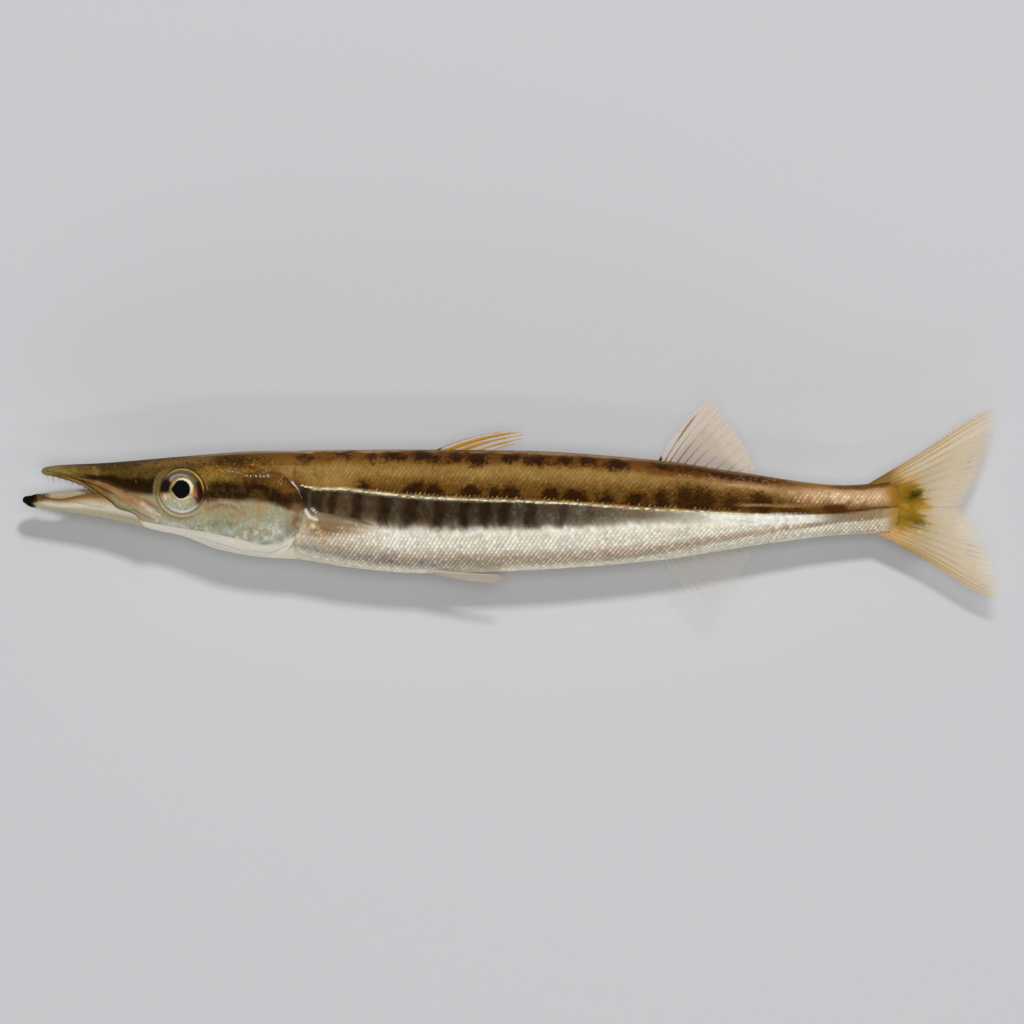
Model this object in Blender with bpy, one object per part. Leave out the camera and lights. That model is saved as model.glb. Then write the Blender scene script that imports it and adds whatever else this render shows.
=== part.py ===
"""A young barracuda, life size, lying on its right side as a caught fish rests.

Sizes are in millimetres, and MM turns them into Blender's metres. A place on the fish is given by
along (from the chin tip back), height (towards the back, from a straight line through the fish)
and side (out from the middle plane, towards the left flank). The fish lies with its head at -X, its
back towards +Y and its left flank up. The floor is Z = 0.
"""

import math

import bmesh
import bpy
from mathutils import Matrix, Vector

MM = 0.001
LENGTH = 120.5         # chin tip to the tips of the tail fin
GAP = 0.3              # clearance between touching pieces
FIN_THICK = 0.5        # membrane of a fin
RAY_RISE = 0.13        # how far a fin ray stands out of each face of its membrane
REST_HEIGHT = 5.2      # the middle plane above the floor, at the trunk
TAIL_DROOP = 1.4       # how much lower the middle plane is at the tail fin's tips
DROOP_START = 52.0     # where along the fish the tail begins to droop
AROUND = 32            # points round one section of the body
SHARP_ANGLE = 40.0     # faces that meet at more than this angle show an edge

# The body's outline from the side: (along, height) where its curve needs a point
BACK = [(2.3, 4.28), (2.8, 4.58), (4.5, 4.84), (9.4, 5.08), (19.5, 5.9), (29.0, 6.56), (48.7, 6.74),
        (61.0, 6.62), (78.0, 5.42), (88.0, 3.95), (100.8, 2.39), (107.9, 3.0)]
BELLY = [(2.3, 3.85), (2.8, 3.6), (4.5, 3.13), (7.0, 2.27), (11.9, -0.92), (13.6, -1.55),
         (15.0, -2.8), (19.5, -3.86), (24.2, -5.58), (29.0, -6.44), (34.0, -6.8), (40.0, -7.75),
         (48.7, -8.46), (61.0, -8.15), (78.0, -6.87), (88.0, -5.33), (100.8, -3.74), (107.9, -3.5)]
# Half of the body's width, how high the widest line lies in the section, and how square it is
FLANK = [(2.3, 0.4), (3.0, 0.85), (7.0, 1.75), (14.0, 3.3), (19.5, 4.05), (29.0, 4.95), (48.7, 5.45),
         (61.0, 5.4), (78.0, 4.5), (95.3, 2.65), (105.0, 1.4), (107.9, 0.6)]
WIDEST = [(2.3, 0.4), (13.0, 0.32), (17.0, 0.5), (40.0, 0.5), (107.9, 0.5)]
SQUARE_ABOVE = [(2.3, 2.0), (8.0, 2.2), (19.5, 2.9), (40.0, 2.3), (107.9, 2.0)]
SQUARE_BELOW = [(2.3, 2.4), (8.0, 3.2), (13.6, 3.2), (17.0, 1.9), (40.0, 2.1), (107.9, 2.0)]

# The lower jaw: underside, rim and half width, and the tongue's rise above the rim
JAW_UNDER = [(0.0, 0.35), (0.3, 0.1), (0.9, -0.28), (2.1, -0.5), (5.8, -0.98), (10.7, -1.78),
             (14.2, -2.5)]
JAW_RIM = [(0.0, 0.75), (0.3, 1.0), (1.0, 1.1), (1.9, 1.3), (2.7, 1.0), (4.5, 0.72), (8.2, 1.3),
           (14.2, 0.6)]
JAW_HALF = [(0.0, 0.3), (0.3, 0.6), (0.9, 0.85), (2.1, 1.0), (5.8, 1.55), (10.7, 2.35), (14.2, 3.0)]
TONGUE_RISE = [(0.0, -0.2), (2.4, -0.3), (3.4, 0.55), (7.5, 0.55), (9.0, -0.2), (14.2, -0.5)]

# The gill opening's edge, and the front and lower edge of the gill cover
GILL_LINE = [(29.8, 7.6), (31.5, 4.23), (32.9, 2.88), (33.8, 1.9), (34.3, 0.67), (34.6, -0.92),
             (34.3, -2.15), (33.8, -3.37), (33.1, -4.72), (32.1, -5.95), (31.5, -7.5)]
COVER_LINE = [(32.2, 3.6), (29.3, 3.74), (27.0, 3.5), (27.8, 0.55), (27.0, -2.5), (26.1, -3.86),
              (28.4, -4.97), (30.3, -5.4), (32.0, -5.35)]
COVER_DEPTH = 2.6      # side of the gill cover's inner face
COVER_RISE = 0.25      # how far the cover stands out of the head
VENT = 75.6            # where the tail begins, just ahead of the anal fin

EYE_ALONG = 19.66
EYE_HEIGHT = 1.64
EYE_RADIUS = 2.8
EYE_SIDE = 3.12        # middle of the eyeball
EYE_DEPTH = 1.22       # half of its depth
RIM_RADIUS = 0.32      # the ring of skin round the eye

SMOOTH_STEPS = 4       # points added between two given ones on a cut's outline


def curve_through(points):
    """A smooth function through (x, y) points that never overshoots them."""
    xs = [p[0] for p in points]
    ys = [p[1] for p in points]
    rise = [(ys[i + 1] - ys[i]) / (xs[i + 1] - xs[i]) for i in range(len(xs) - 1)]
    slope = [rise[0]]
    for before, after in zip(rise, rise[1:]):
        slope.append(0.0 if before * after <= 0 else 2 * before * after / (before + after))
    slope.append(rise[-1])

    def value(x):
        x = min(max(x, xs[0]), xs[-1])
        i = max(k for k in range(len(xs) - 1) if xs[k] <= x)
        step = xs[i + 1] - xs[i]
        t = (x - xs[i]) / step
        return (ys[i] * (1 + 2 * t) * (1 - t) ** 2 + ys[i + 1] * t * t * (3 - 2 * t)
                + step * (slope[i] * t * (1 - t) ** 2 - slope[i + 1] * t * t * (1 - t)))

    return value


back = curve_through(BACK)
belly = curve_through(BELLY)
flank = curve_through(FLANK)
widest = curve_through(WIDEST)
square_above = curve_through(SQUARE_ABOVE)
square_below = curve_through(SQUARE_BELOW)
jaw_under = curve_through(JAW_UNDER)
jaw_rim = curve_through(JAW_RIM)
jaw_half = curve_through(JAW_HALF)
tongue_rise = curve_through(TONGUE_RISE)


def middle_plane(along):
    """Height of the fish's middle plane above the floor."""
    t = min(max((along - DROOP_START) / (LENGTH - DROOP_START), 0.0), 1.0)
    return REST_HEIGHT - TAIL_DROOP * t * t


def at(along, height, side):
    """A place on the fish as a world position in millimetres."""
    return Vector((along - LENGTH / 2, height, middle_plane(along) + side))


def surface_side(along, height):
    """How far out the body's skin lies at a height."""
    low, high = belly(along), back(along)
    level = low + (high - low) * widest(along)
    above = height >= level
    reach = (high - level) if above else (level - low)
    power = square_above(along) if above else square_below(along)
    share = min(abs(height - level) / reach, 1.0)
    return flank(along) * (1 - share ** power) ** (1 / power)


def gape(along):
    """The open mouth's height, from the lower jaw's rim to the upper lip."""
    return belly(max(along, 3.3)) - jaw_rim(along)


def mix(a, b, t):
    return a + (b - a) * t


def smooth_line(points):
    """Points along a Catmull-Rom curve through the given (along, height) points."""
    line = []
    for i in range(len(points) - 1):
        p0, p1 = Vector(points[max(i - 1, 0)]), Vector(points[i])
        p2, p3 = Vector(points[i + 1]), Vector(points[min(i + 2, len(points) - 1)])
        for k in range(SMOOTH_STEPS):
            t = k / SMOOTH_STEPS
            line.append(0.5 * (2 * p1 + (p2 - p0) * t + (2 * p0 - 5 * p1 + 4 * p2 - p3) * t * t
                               + (3 * p1 - p0 - 3 * p2 + p3) * t ** 3))
    line.append(Vector(points[-1]))
    return line


# Making, joining and cutting objects

def clear_scene():
    for old in list(bpy.data.objects):
        bpy.data.objects.remove(old)


clear_scene()
fish = bpy.data.collections.new("barracuda")
bpy.context.scene.collection.children.link(fish)


def new_object(name, corners, faces):
    """A mesh object from corners in millimetres."""
    mesh = bpy.data.meshes.new(name)
    mesh.from_pydata([tuple(c * MM) for c in corners], [], faces)
    mesh.update()
    made = bpy.data.objects.new(name, mesh)
    fish.objects.link(made)
    return made


def loft(name, rings):
    """A closed solid through rings of equally many corners, capped flat at both ends."""
    count = len(rings[0])
    corners = [c for ring in rings for c in ring]
    faces = [tuple(range(count))[::-1], tuple(range(len(corners) - count, len(corners)))]
    for r in range(len(rings) - 1):
        for k in range(count):
            a, b = r * count + k, r * count + (k + 1) % count
            faces.append((a, b, b + count, a + count))
    made = new_object(name, corners, faces)
    turn_faces_out(made)
    return made


def turn_faces_out(made):
    shape = bmesh.new()
    shape.from_mesh(made.data)
    bmesh.ops.recalc_face_normals(shape, faces=shape.faces)
    if shape.calc_volume(signed=True) < 0:
        bmesh.ops.reverse_faces(shape, faces=shape.faces)
    shape.to_mesh(made.data)
    shape.free()


def settle(made):
    """Makes an object's evaluated shape its own mesh, and drops its modifiers."""
    bpy.context.view_layer.update()
    depsgraph = bpy.context.evaluated_depsgraph_get()
    mesh = bpy.data.meshes.new_from_object(made.evaluated_get(depsgraph))
    old = made.data
    made.modifiers.clear()
    made.data = mesh
    bpy.data.meshes.remove(old)


def combine(target, tool, operation, solver="EXACT"):
    """Cuts, joins or keeps target with tool, which is used up."""
    modifier = target.modifiers.new(operation.title(), "BOOLEAN")
    modifier.operation = operation
    modifier.solver = solver
    modifier.object = tool
    settle(target)
    bpy.data.objects.remove(tool)
    keep_largest(target)
    return target


def join_all(target, tools):
    """One Boolean union of target with a collection of closed pieces, which are used up."""
    held = bpy.data.collections.new("pieces")
    bpy.context.scene.collection.children.link(held)
    for tool in tools:
        fish.objects.unlink(tool)
        held.objects.link(tool)
    modifier = target.modifiers.new("Join", "BOOLEAN")
    modifier.operation = "UNION"
    modifier.operand_type = "COLLECTION"
    modifier.collection = held
    settle(target)
    for tool in tools:
        bpy.data.objects.remove(tool)
    bpy.data.collections.remove(held)
    keep_largest(target)
    return target


def keep_largest(made):
    """Leaves only the largest closed surface of an object."""
    shape = bmesh.new()
    shape.from_mesh(made.data)
    unseen = set(shape.faces)
    groups = []
    while unseen:
        start = unseen.pop()
        group, edge_of_group = [start], [start]
        while edge_of_group:
            face = edge_of_group.pop()
            for edge in face.edges:
                for other in edge.link_faces:
                    if other in unseen:
                        unseen.remove(other)
                        group.append(other)
                        edge_of_group.append(other)
        groups.append(group)
    groups.sort(key=lambda g: sum(f.calc_area() for f in g))
    for group in groups[:-1]:
        bmesh.ops.delete(shape, geom=group, context="FACES")
    shape.to_mesh(made.data)
    shape.free()


def prism(name, outline, low, high):
    """A flat outline of (along, height) points, standing from side low to side high."""
    data = bpy.data.curves.new(name, "CURVE")
    data.dimensions = "2D"
    data.fill_mode = "BOTH"
    data.extrude = (high - low) / 2 * MM
    spline = data.splines.new("POLY")
    spline.points.add(len(outline) - 1)
    for point, (along, height) in zip(spline.points, outline):
        point.co = ((along - LENGTH / 2) * MM, height * MM, 0, 1)
    spline.use_cyclic_u = True
    bent = bpy.data.objects.new(name, data)
    bent.location.z = (REST_HEIGHT + (low + high) / 2) * MM
    fish.objects.link(bent)
    return curve_to_mesh(bent)


def curve_to_mesh(bent):
    """A closed mesh object from a filled curve object, at the curve's place."""
    bpy.context.view_layer.update()
    depsgraph = bpy.context.evaluated_depsgraph_get()
    mesh = bpy.data.meshes.new_from_object(bent.evaluated_get(depsgraph))
    name, place = bent.name, bent.matrix_world.copy()
    bpy.data.objects.remove(bent)
    shape = bmesh.new()
    shape.from_mesh(mesh)
    bmesh.ops.remove_doubles(shape, verts=shape.verts, dist=0.001 * MM)
    bmesh.ops.transform(shape, matrix=place, verts=shape.verts)
    shape.to_mesh(mesh)
    shape.free()
    made = bpy.data.objects.new(name, mesh)
    fish.objects.link(made)
    turn_faces_out(made)
    return made


def cone(name, foot, tip, radius, sides=6):
    """A pointed cone from foot to tip, in millimetres."""
    axis = tip - foot
    mesh = bpy.data.meshes.new(name)
    shape = bmesh.new()
    turn = axis.to_track_quat("Z", "Y").to_matrix().to_4x4()
    place = Matrix.Translation((foot + tip) / 2 * MM) @ turn
    bmesh.ops.create_cone(shape, cap_ends=True, segments=sides, radius1=radius * MM, radius2=0.0,
                          depth=axis.length * MM, matrix=place)
    shape.to_mesh(mesh)
    shape.free()
    made = bpy.data.objects.new(name, mesh)
    fish.objects.link(made)
    return made


def paint(made, colour, roughness, metallic=0.0):
    """Gives an object its own plain finish."""
    finish = bpy.data.materials.new(made.name)
    finish.use_nodes = True
    shader = finish.node_tree.nodes["Principled BSDF"]
    shader.inputs["Base Color"].default_value = (*colour, 1.0)
    shader.inputs["Roughness"].default_value = roughness
    shader.inputs["Metallic"].default_value = metallic
    made.data.materials.clear()
    made.data.materials.append(finish)


def floor_block(name):
    """Everything under the floor."""
    bpy.ops.mesh.primitive_cube_add(size=1.0)
    block = bpy.context.object
    block.name = name
    block.scale = (0.3, 0.1, 0.02)
    block.location.z = -0.01
    bpy.ops.object.transform_apply(location=True, rotation=False, scale=True)
    for holder in list(block.users_collection):
        holder.objects.unlink(block)
    fish.objects.link(block)
    return block


# Body: one whole form, later parted by thin cuts

BODY_PLACES = ([2.3, 2.8, 3.6] + [4.5 + 1.27 * k for k in range(8)]
               + [13.9, 14.4, 15.0] + [15.9 + 1.3 * k for k in range(15)]
               + [35.6 + 2.6 * k for k in range(28)] + [107.9])


def body_section(along, grow=0.0):
    """The body's ring at a place, grown outwards."""
    low, high = belly(along) - grow, back(along) + grow
    level = low + (high - low) * widest(along)
    ring = []
    for k in range(AROUND):
        angle = 2 * math.pi * k / AROUND
        c, s = math.cos(angle), math.sin(angle)
        power = 2 / (square_above(along) if s >= 0 else square_below(along))
        reach = (high - level) if s >= 0 else (level - low)
        side = (flank(along) + grow) * math.copysign(abs(c) ** power, c)
        height = level + reach * math.copysign(abs(s) ** power, s)
        ring.append(at(along, height, side))
    return ring


def body_form(name, grow=0.0):
    rings = [body_section(along, grow) for along in BODY_PLACES]
    if grow:
        rings[0] = [c - Vector((grow, 0, 0)) for c in rings[0]]
    return loft(name, rings)


def region(name, front, rear):
    """A block through the whole fish between two edge lines, each run from back to belly."""
    return prism(name, list(front) + list(reversed(rear)), -12.0, 12.0)


def shifted(line, distance):
    return [(p[0] + distance, p[1]) for p in line]


ahead_of_fish = [(-6.0, 7.6), (-6.0, -7.5)]
behind_fish = [(LENGTH, 12.0), (LENGTH, -12.0)]
gill_edge = [tuple(p) for p in smooth_line(GILL_LINE)]
vent_front = [(VENT - GAP / 2, 12.0), (VENT - GAP / 2, -12.0)]
vent_rear = [(VENT + GAP / 2, 12.0), (VENT + GAP / 2, -12.0)]
# The trunk's front edge also runs far above and below the body, where the head's ends with it
trunk_front = ([(29.8 + GAP, 12.0)] + shifted(gill_edge, GAP) + [(31.5 + GAP, -12.0)])
head_rear = [(29.8, 12.0)] + gill_edge + [(31.5, -12.0)]
cover_outline = [tuple(p) for p in smooth_line(COVER_LINE)] + [(36.0, -5.35), (36.0, 3.6)]


def outset(line, distance):
    """A closed outline moved outwards by about a distance."""
    middle = sum((Vector(p) for p in line), Vector((0, 0))) / len(line)
    moved = []
    for i, p in enumerate(line):
        before, after = Vector(line[i - 1]), Vector(line[(i + 1) % len(line)])
        run = (after - before).normalized()
        out = Vector((run.y, -run.x))
        if out.dot(Vector(p) - middle) < 0:
            out = -out
        moved.append(tuple(Vector(p) + out * distance))
    return moved


# Head with the upper jaw, the eye sockets, the nostrils and the mouth's roof

def lip(name, way, grow=0.0):
    """The upper lip along one side: a strap that widens to the flat rear end of the jaw bone."""
    rings = []
    steps = 12
    for i in range(steps + 1):
        t = i / steps
        along = mix(2.75, 14.0, t)
        tall = 0.24 + 0.12 * min(t / 0.6, 1.0) + 0.45 * max(t - 0.6, 0.0) / 0.4
        thick = 0.2 + 0.1 * t
        if i == steps:
            tall, thick = 0.6 * tall, 0.4 * thick
        height = belly(min(along, 13.7)) + tall * 0.9
        side = max(surface_side(along, height + 0.5 * tall), 0.35) - 0.08
        ring = []
        for k in range(8):
            turn = 2 * math.pi * k / 8
            out = side + (thick + grow) * math.cos(turn)
            ring.append(at(along, height + (tall + grow) * math.sin(turn), way * out))
        rings.append(ring)
    rings[0] = [c - Vector((grow, 0, 0)) for c in rings[0]]
    rings[-1] = [c + Vector((grow, 0, 0)) for c in rings[-1]]
    return loft(name, rings)


def eye_ring(name, way):
    """The ring of skin round one eye, laid on the head."""
    count = 24
    rings = []
    reach = EYE_RADIUS + GAP + RIM_RADIUS * 0.6
    for i in range(count):
        angle = 2 * math.pi * i / count
        radial = Vector((math.cos(angle), math.sin(angle)))
        ring = []
        for k in range(6):
            turn = 2 * math.pi * k / 6
            spread = reach + RIM_RADIUS * math.cos(turn)
            along = EYE_ALONG + radial.x * spread
            height = EYE_HEIGHT + radial.y * spread
            lying = surface_side(EYE_ALONG + radial.x * reach, min(EYE_HEIGHT + radial.y * reach, 4.9))
            ring.append(at(along, height, way * (max(lying, 2.9) + RIM_RADIUS * math.sin(turn))))
        rings.append(ring)
    corners = [c for ring in rings for c in ring]
    faces = []
    for i in range(count):
        for k in range(6):
            a, b = i * 6 + k, i * 6 + (k + 1) % 6
            c, d = ((i + 1) % count) * 6 + (k + 1) % 6, ((i + 1) % count) * 6 + k
            faces.append((a, b, c, d))
    made = new_object(name, corners, faces)
    turn_faces_out(made)
    return made


def eyeball(name, way, grow=0.0):
    """A flattened ball with a square shoulder, turned about its line of sight."""
    rows, columns, power = 7, 24, 2 / 3
    rings = []
    for i in range(rows + 1):
        angle = math.pi * (i + 0.35) / (rows + 0.7) - math.pi / 2
        radius = (EYE_RADIUS + grow) * abs(math.cos(angle)) ** power
        out = (EYE_DEPTH + grow) * math.copysign(abs(math.sin(angle)) ** power, math.sin(angle))
        rings.append([at(EYE_ALONG + radius * math.cos(turn), EYE_HEIGHT + radius * math.sin(turn),
                         way * (EYE_SIDE + out))
                      for turn in (2 * math.pi * k / columns for k in range(columns))])
    return loft(name, rings)


def nostril(name, way, along, height, radius):
    """A short pin that cuts one nostril into the snout."""
    out = surface_side(along, height)
    path = [at(along, height, way * (out - 0.4)), at(along, height, way * (out + 1.0))]
    rings = [[p + Vector((radius * math.cos(a), 1.4 * radius * math.sin(a), 0))
              for a in (2 * math.pi * k / 8 for k in range(8))] for p in path]
    return loft(name, rings)


def mouth_roof(name):
    """The hollow under the snout, between the lips."""
    rings = []
    for along in (3.3, 5.0, 7.0, 9.0, 11.0, 12.6, 13.3):
        half = 0.55 * flank(along)
        roof = belly(along) + mix(0.35, 1.1, (along - 3.3) / 10.0)
        rings.append([at(along, -6.0, half), at(along, roof - 0.3, half), at(along, roof, half * 0.6),
                      at(along, roof, -half * 0.6), at(along, roof - 0.3, -half), at(along, -6.0, -half)])
    return loft(name, rings)


def upper_teeth():
    """Fangs at the front of the snout and small teeth behind, in a loop along each lip."""
    teeth = []
    for way in (1, -1):
        for i in range(5):
            along = 3.3 + 1.05 * i
            long = min(0.95 if i in (0, 2) else 0.6, 0.45 * gape(along))
            side = way * (0.8 * flank(along) - 0.05)
            foot = at(along, belly(along) + 0.35, side)
            teeth.append(cone("tooth", foot, at(along + 0.1, belly(along) - long, side * 0.96), 0.27))
    return teeth


def make_head():
    head = body_form("head")
    combine(head, region("head_region", ahead_of_fish[:1] + [(-6.0, -12.0)], head_rear), "INTERSECT")
    for way in (1, -1):
        low, high = sorted((way * (COVER_DEPTH - GAP), way * 12.0))
        combine(head, prism("cover_seat", outset(cover_outline, GAP), low, high), "DIFFERENCE")
    combine(head, mouth_roof("mouth_roof"), "DIFFERENCE")
    for way in (1, -1):
        combine(head, nostril("nostril", way, 13.7, 2.75, 0.26), "DIFFERENCE")
        combine(head, nostril("nostril", way, 12.9, 3.05, 0.18), "DIFFERENCE")
    pieces = upper_teeth()
    for way in (1, -1):
        pieces += [lip("lip", way), eye_ring("eye_ring", way)]
    join_all(head, pieces)
    for way in (1, -1):
        combine(head, eyeball("socket", way, GAP), "DIFFERENCE", "MANIFOLD")
    paint(head, (0.20, 0.13, 0.05), 0.35)
    return head


def make_gill_cover(name, way):
    cover = body_form(name, COVER_RISE)
    low, high = sorted((way * COVER_DEPTH, way * 12.0))
    combine(cover, prism("cover_shape", cover_outline, low, high), "INTERSECT")
    combine(cover, region("head_region", ahead_of_fish[:1] + [(-6.0, -12.0)], head_rear), "INTERSECT")
    if way < 0:
        combine(cover, floor_block("floor_block"), "DIFFERENCE")
    paint(cover, (0.48, 0.46, 0.36), 0.25, 0.4)
    return cover


# Lower jaw, with its tongue and teeth

def jaw_section(along):
    under, rim, half = jaw_under(along), jaw_rim(along), jaw_half(along)
    tongue = rim + tongue_rise(along)
    floor = max(rim - 0.55, mix(under, rim, 0.55))
    ring = []
    for k in range(13):
        angle = math.pi * k / 12
        ring.append(at(along, rim - (rim - under) * math.sin(angle) ** 0.8, half * math.cos(angle)))
    for share, height in ((-0.74, rim), (-0.52, floor), (-0.3, mix(floor, tongue, 0.75)), (0.0, tongue),
                          (0.3, mix(floor, tongue, 0.75)), (0.52, floor), (0.74, rim)):
        ring.append(at(along, height, half * share))
    return ring


def lower_teeth():
    teeth = []
    for way in (1, -1):
        for i in range(6):
            along = 1.9 + 1.1 * i
            long = min(0.9 if i in (0, 3) else 0.6, 0.45 * gape(along))
            side = way * 0.84 * jaw_half(along)
            foot = at(along, jaw_rim(along) - 0.3, side)
            teeth.append(cone("tooth", foot, at(along + 0.12, jaw_rim(along) + long, side * 0.97), 0.27))
    return teeth


def make_lower_jaw():
    places = [0.0, 0.3, 0.9, 1.5] + [2.1 + 0.93 * k for k in range(14)]
    jaw = loft("lower_jaw", [jaw_section(along) for along in places])
    join_all(jaw, lower_teeth())
    combine(jaw, body_form("head_space", GAP), "DIFFERENCE")
    for way in (1, -1):
        combine(jaw, lip("lip_space", way, GAP), "DIFFERENCE", "MANIFOLD")
    paint(jaw, (0.55, 0.50, 0.36), 0.4)
    return jaw


# Trunk, lying on a small flat, and tail

def make_trunk():
    trunk = body_form("trunk")
    combine(trunk, region("trunk_region", trunk_front, vent_front), "INTERSECT")
    combine(trunk, floor_block("floor_block"), "DIFFERENCE")
    combine(trunk, prism("fin_space", pectoral_outline(GAP + 0.05), -8.0, 1.08 - REST_HEIGHT), "DIFFERENCE")
    paint(trunk, (0.42, 0.36, 0.24), 0.3, 0.3)
    return trunk


def make_tail():
    tail = body_form("tail")
    combine(tail, region("tail_region", vent_rear, behind_fish), "INTERSECT")
    paint(tail, (0.45, 0.38, 0.26), 0.3, 0.3)
    return tail


# Fins: a thin membrane with a ridge on both faces along each ray

RAY_COLUMNS = (0.0, 0.24, 0.5, 0.76)   # columns from one ray to the next, the first on the ray


def fin(name, surface, rays, rows=6, root_thick=FIN_THICK, tip_share=0.6, colour=(0.75, 0.62, 0.42)):
    """A closed fin on surface(u, v), a middle surface: u runs across the rays and v from root to tip."""
    across = [(i + part) / (rays - 1) for i in range(rays - 1) for part in RAY_COLUMNS] + [1.0]
    faces_of = {1: [], -1: []}
    for column, u in enumerate(across):
        on_ray = column % len(RAY_COLUMNS) == 0
        for row in range(rows):
            v = row / (rows - 1)
            centre = surface(u, v)
            step_u = surface(min(u + 0.01, 1.0), v) - surface(max(u - 0.01, 0.0), v)
            step_v = surface(u, min(v + 0.01, 1.0)) - surface(u, max(v - 0.01, 0.0))
            normal = step_u.cross(step_v).normalized()
            thick = mix(root_thick, FIN_THICK, min(v * 3, 1.0)) * mix(1.0, tip_share, v * v)
            if on_ray:
                thick += 2 * RAY_RISE * (1 - 0.7 * v)
            for way in (1, -1):
                faces_of[way].append(centre + normal * way * thick / 2)
    corners = faces_of[1] + faces_of[-1]
    half = len(faces_of[1])
    faces = []
    for column in range(len(across) - 1):
        for row in range(rows - 1):
            a = column * rows + row
            b, c, d = a + rows, a + rows + 1, a + 1
            faces += [(a, b, c), (a, c, d)]
            faces += [(a + half, c + half, b + half), (a + half, d + half, c + half)]
    edge = ([row for row in range(rows)]
            + [column * rows + rows - 1 for column in range(1, len(across))]
            + [(len(across) - 1) * rows + row for row in reversed(range(rows - 1))]
            + [column * rows for column in reversed(range(1, len(across) - 1))])
    for i, a in enumerate(edge):
        b = edge[(i + 1) % len(edge)]
        faces += [(a, b, b + half), (a, b + half, a + half)]
    made = new_object(name, corners, faces)
    turn_faces_out(made)
    paint(made, colour, 0.4)
    return made


def bezier(p0, p1, p2, t):
    return p0 * (1 - t) ** 2 + p1 * 2 * t * (1 - t) + p2 * t * t


def median_fin(name, root_start, root_end, margin, sweep, rays, above=True, **options):
    """A fin in the middle plane, rooted along the back or the belly. margin is three points."""
    edge = back if above else belly
    way = 1 if above else -1
    start, corner, end = (Vector(p) for p in margin)

    def surface(u, v):
        along = mix(root_start, root_end, u)
        root = Vector((along, edge(along) + way * GAP))
        tip = bezier(start, corner, end, u)
        bow = Vector((-(tip - root).y, (tip - root).x)) * sweep * way * v * (1 - v) * 4
        point = root + (tip - root) * v + bow
        return at(point.x, point.y, 0.0)

    return fin(name, surface, rays, **options)


def first_dorsal(name):
    """Five slender spines folded low over the back, with the membrane between them."""
    roots = curve_through([(0.0, 50.6), (0.25, 51.8), (0.5, 53.2), (0.75, 55.2), (1.0, 57.4)])
    tip_along = curve_through([(0.0, 59.8), (0.25, 61.2), (0.5, 61.6), (0.75, 61.7), (1.0, 60.6)])
    tip_height = curve_through([(0.0, 9.1), (0.25, 8.95), (0.5, 8.6), (0.75, 8.15), (1.0, 7.6)])

    def surface(u, v):
        along = roots(u)
        root = Vector((along, back(along) + GAP))
        tip = Vector((tip_along(u), tip_height(u)))
        bow = Vector((0.0, 0.55 * (1 - u) * 4 * v * (1 - v)))
        point = root + (tip - root) * v + bow
        return at(point.x, point.y, 0.0)

    return fin(name, surface, 5, rows=6, tip_share=0.7, colour=(0.72, 0.42, 0.05))


def caudal_lobe(name, way):
    """One lobe of the forked tail fin, rooted round the end of the tail."""
    end = 107.9 + GAP
    if way > 0:
        edge, lead, bulge = back, 104.1, 0.36
        tip, bend, fork = (120.2, 12.2), (118.6, 5.0), (115.2, -0.15)
    else:
        edge, lead, bulge = belly, 105.6, 0.55
        tip, bend, fork = (120.49, -11.75), (119.6, -5.6), (115.2, -0.55)
    tip, bend, fork = Vector(tip), Vector(bend), Vector(fork)
    corner = Vector((end, edge(107.9) + way * GAP))
    start = Vector((lead, edge(lead) + way * GAP))
    middle = Vector((end, -0.35 + way * GAP / 2))

    def surface(u, v):
        root = start.lerp(corner, u / 0.25) if u < 0.25 else corner.lerp(middle, (u - 0.25) / 0.75)
        margin = bezier(tip, bend, fork, u)
        out = Vector((-way * (margin - root).y, way * (margin - root).x))
        point = root + (margin - root) * v + out * bulge * (1 - u) * v ** 4 * (1 - v)
        return at(point.x, point.y, 0.0)

    return fin(name, surface, 9, root_thick=0.9, tip_share=0.5, colour=(0.75, 0.60, 0.33))


def pectoral_point(u, v):
    """A place on the folded pectoral fin, as (along, height)."""
    root = Vector((36.3, -0.35)).lerp(Vector((36.6, -2.0)), u)
    tip = bezier(Vector((43.9, -2.75)), Vector((43.6, -3.2)), Vector((42.2, -3.1)), u)
    return root + (tip - root) * v + Vector((0.0, 0.35 * (1 - 2 * u) * v * (1 - v) * 4))


def pectoral_outline(distance):
    """The folded pectoral fin's outline, moved outwards."""
    line = ([pectoral_point(0.0, k / 6) for k in range(6)] + [pectoral_point(k / 4, 1.0) for k in range(4)]
            + [pectoral_point(1.0, 1 - k / 6) for k in range(6)]
            + [pectoral_point(1 - k / 3, 0.0) for k in range(3)])
    return outset([tuple(p) for p in line], distance)


def pectoral(name, way):
    """A small fin folded back flat on the flank. The lower one is pressed into it by the floor."""
    def surface(u, v):
        point = pectoral_point(u, v)
        out = surface_side(point.x, point.y)
        if way > 0:
            side = out + GAP + FIN_THICK / 2 + RAY_RISE + 0.25 * v * v
        else:
            pressed = middle_plane(point.x) - FIN_THICK / 2 - RAY_RISE - 0.02
            side = -min(out + 0.2, pressed)
        return at(point.x, point.y, side)

    return fin(name, surface, 5, rows=5, tip_share=0.8, colour=(0.62, 0.55, 0.42))


def pelvic(name, way):
    """One of the pair under the belly, folded back."""
    def surface(u, v):
        root = Vector((mix(49.7, 50.8, u), mix(-8.62, -8.98, u), mix(2.1, 0.75, u)))
        tip = Vector((mix(60.3, 59.2, u), mix(-8.45, -9.75, u), mix(3.4, 0.95, u)))
        point = root + (tip - root) * v
        point.y -= 0.2 * math.sin(math.pi * v)
        return at(point.x, point.y, way * point.z)

    return fin(name, surface, 6, rows=5, tip_share=0.7, colour=(0.72, 0.66, 0.52))


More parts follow.
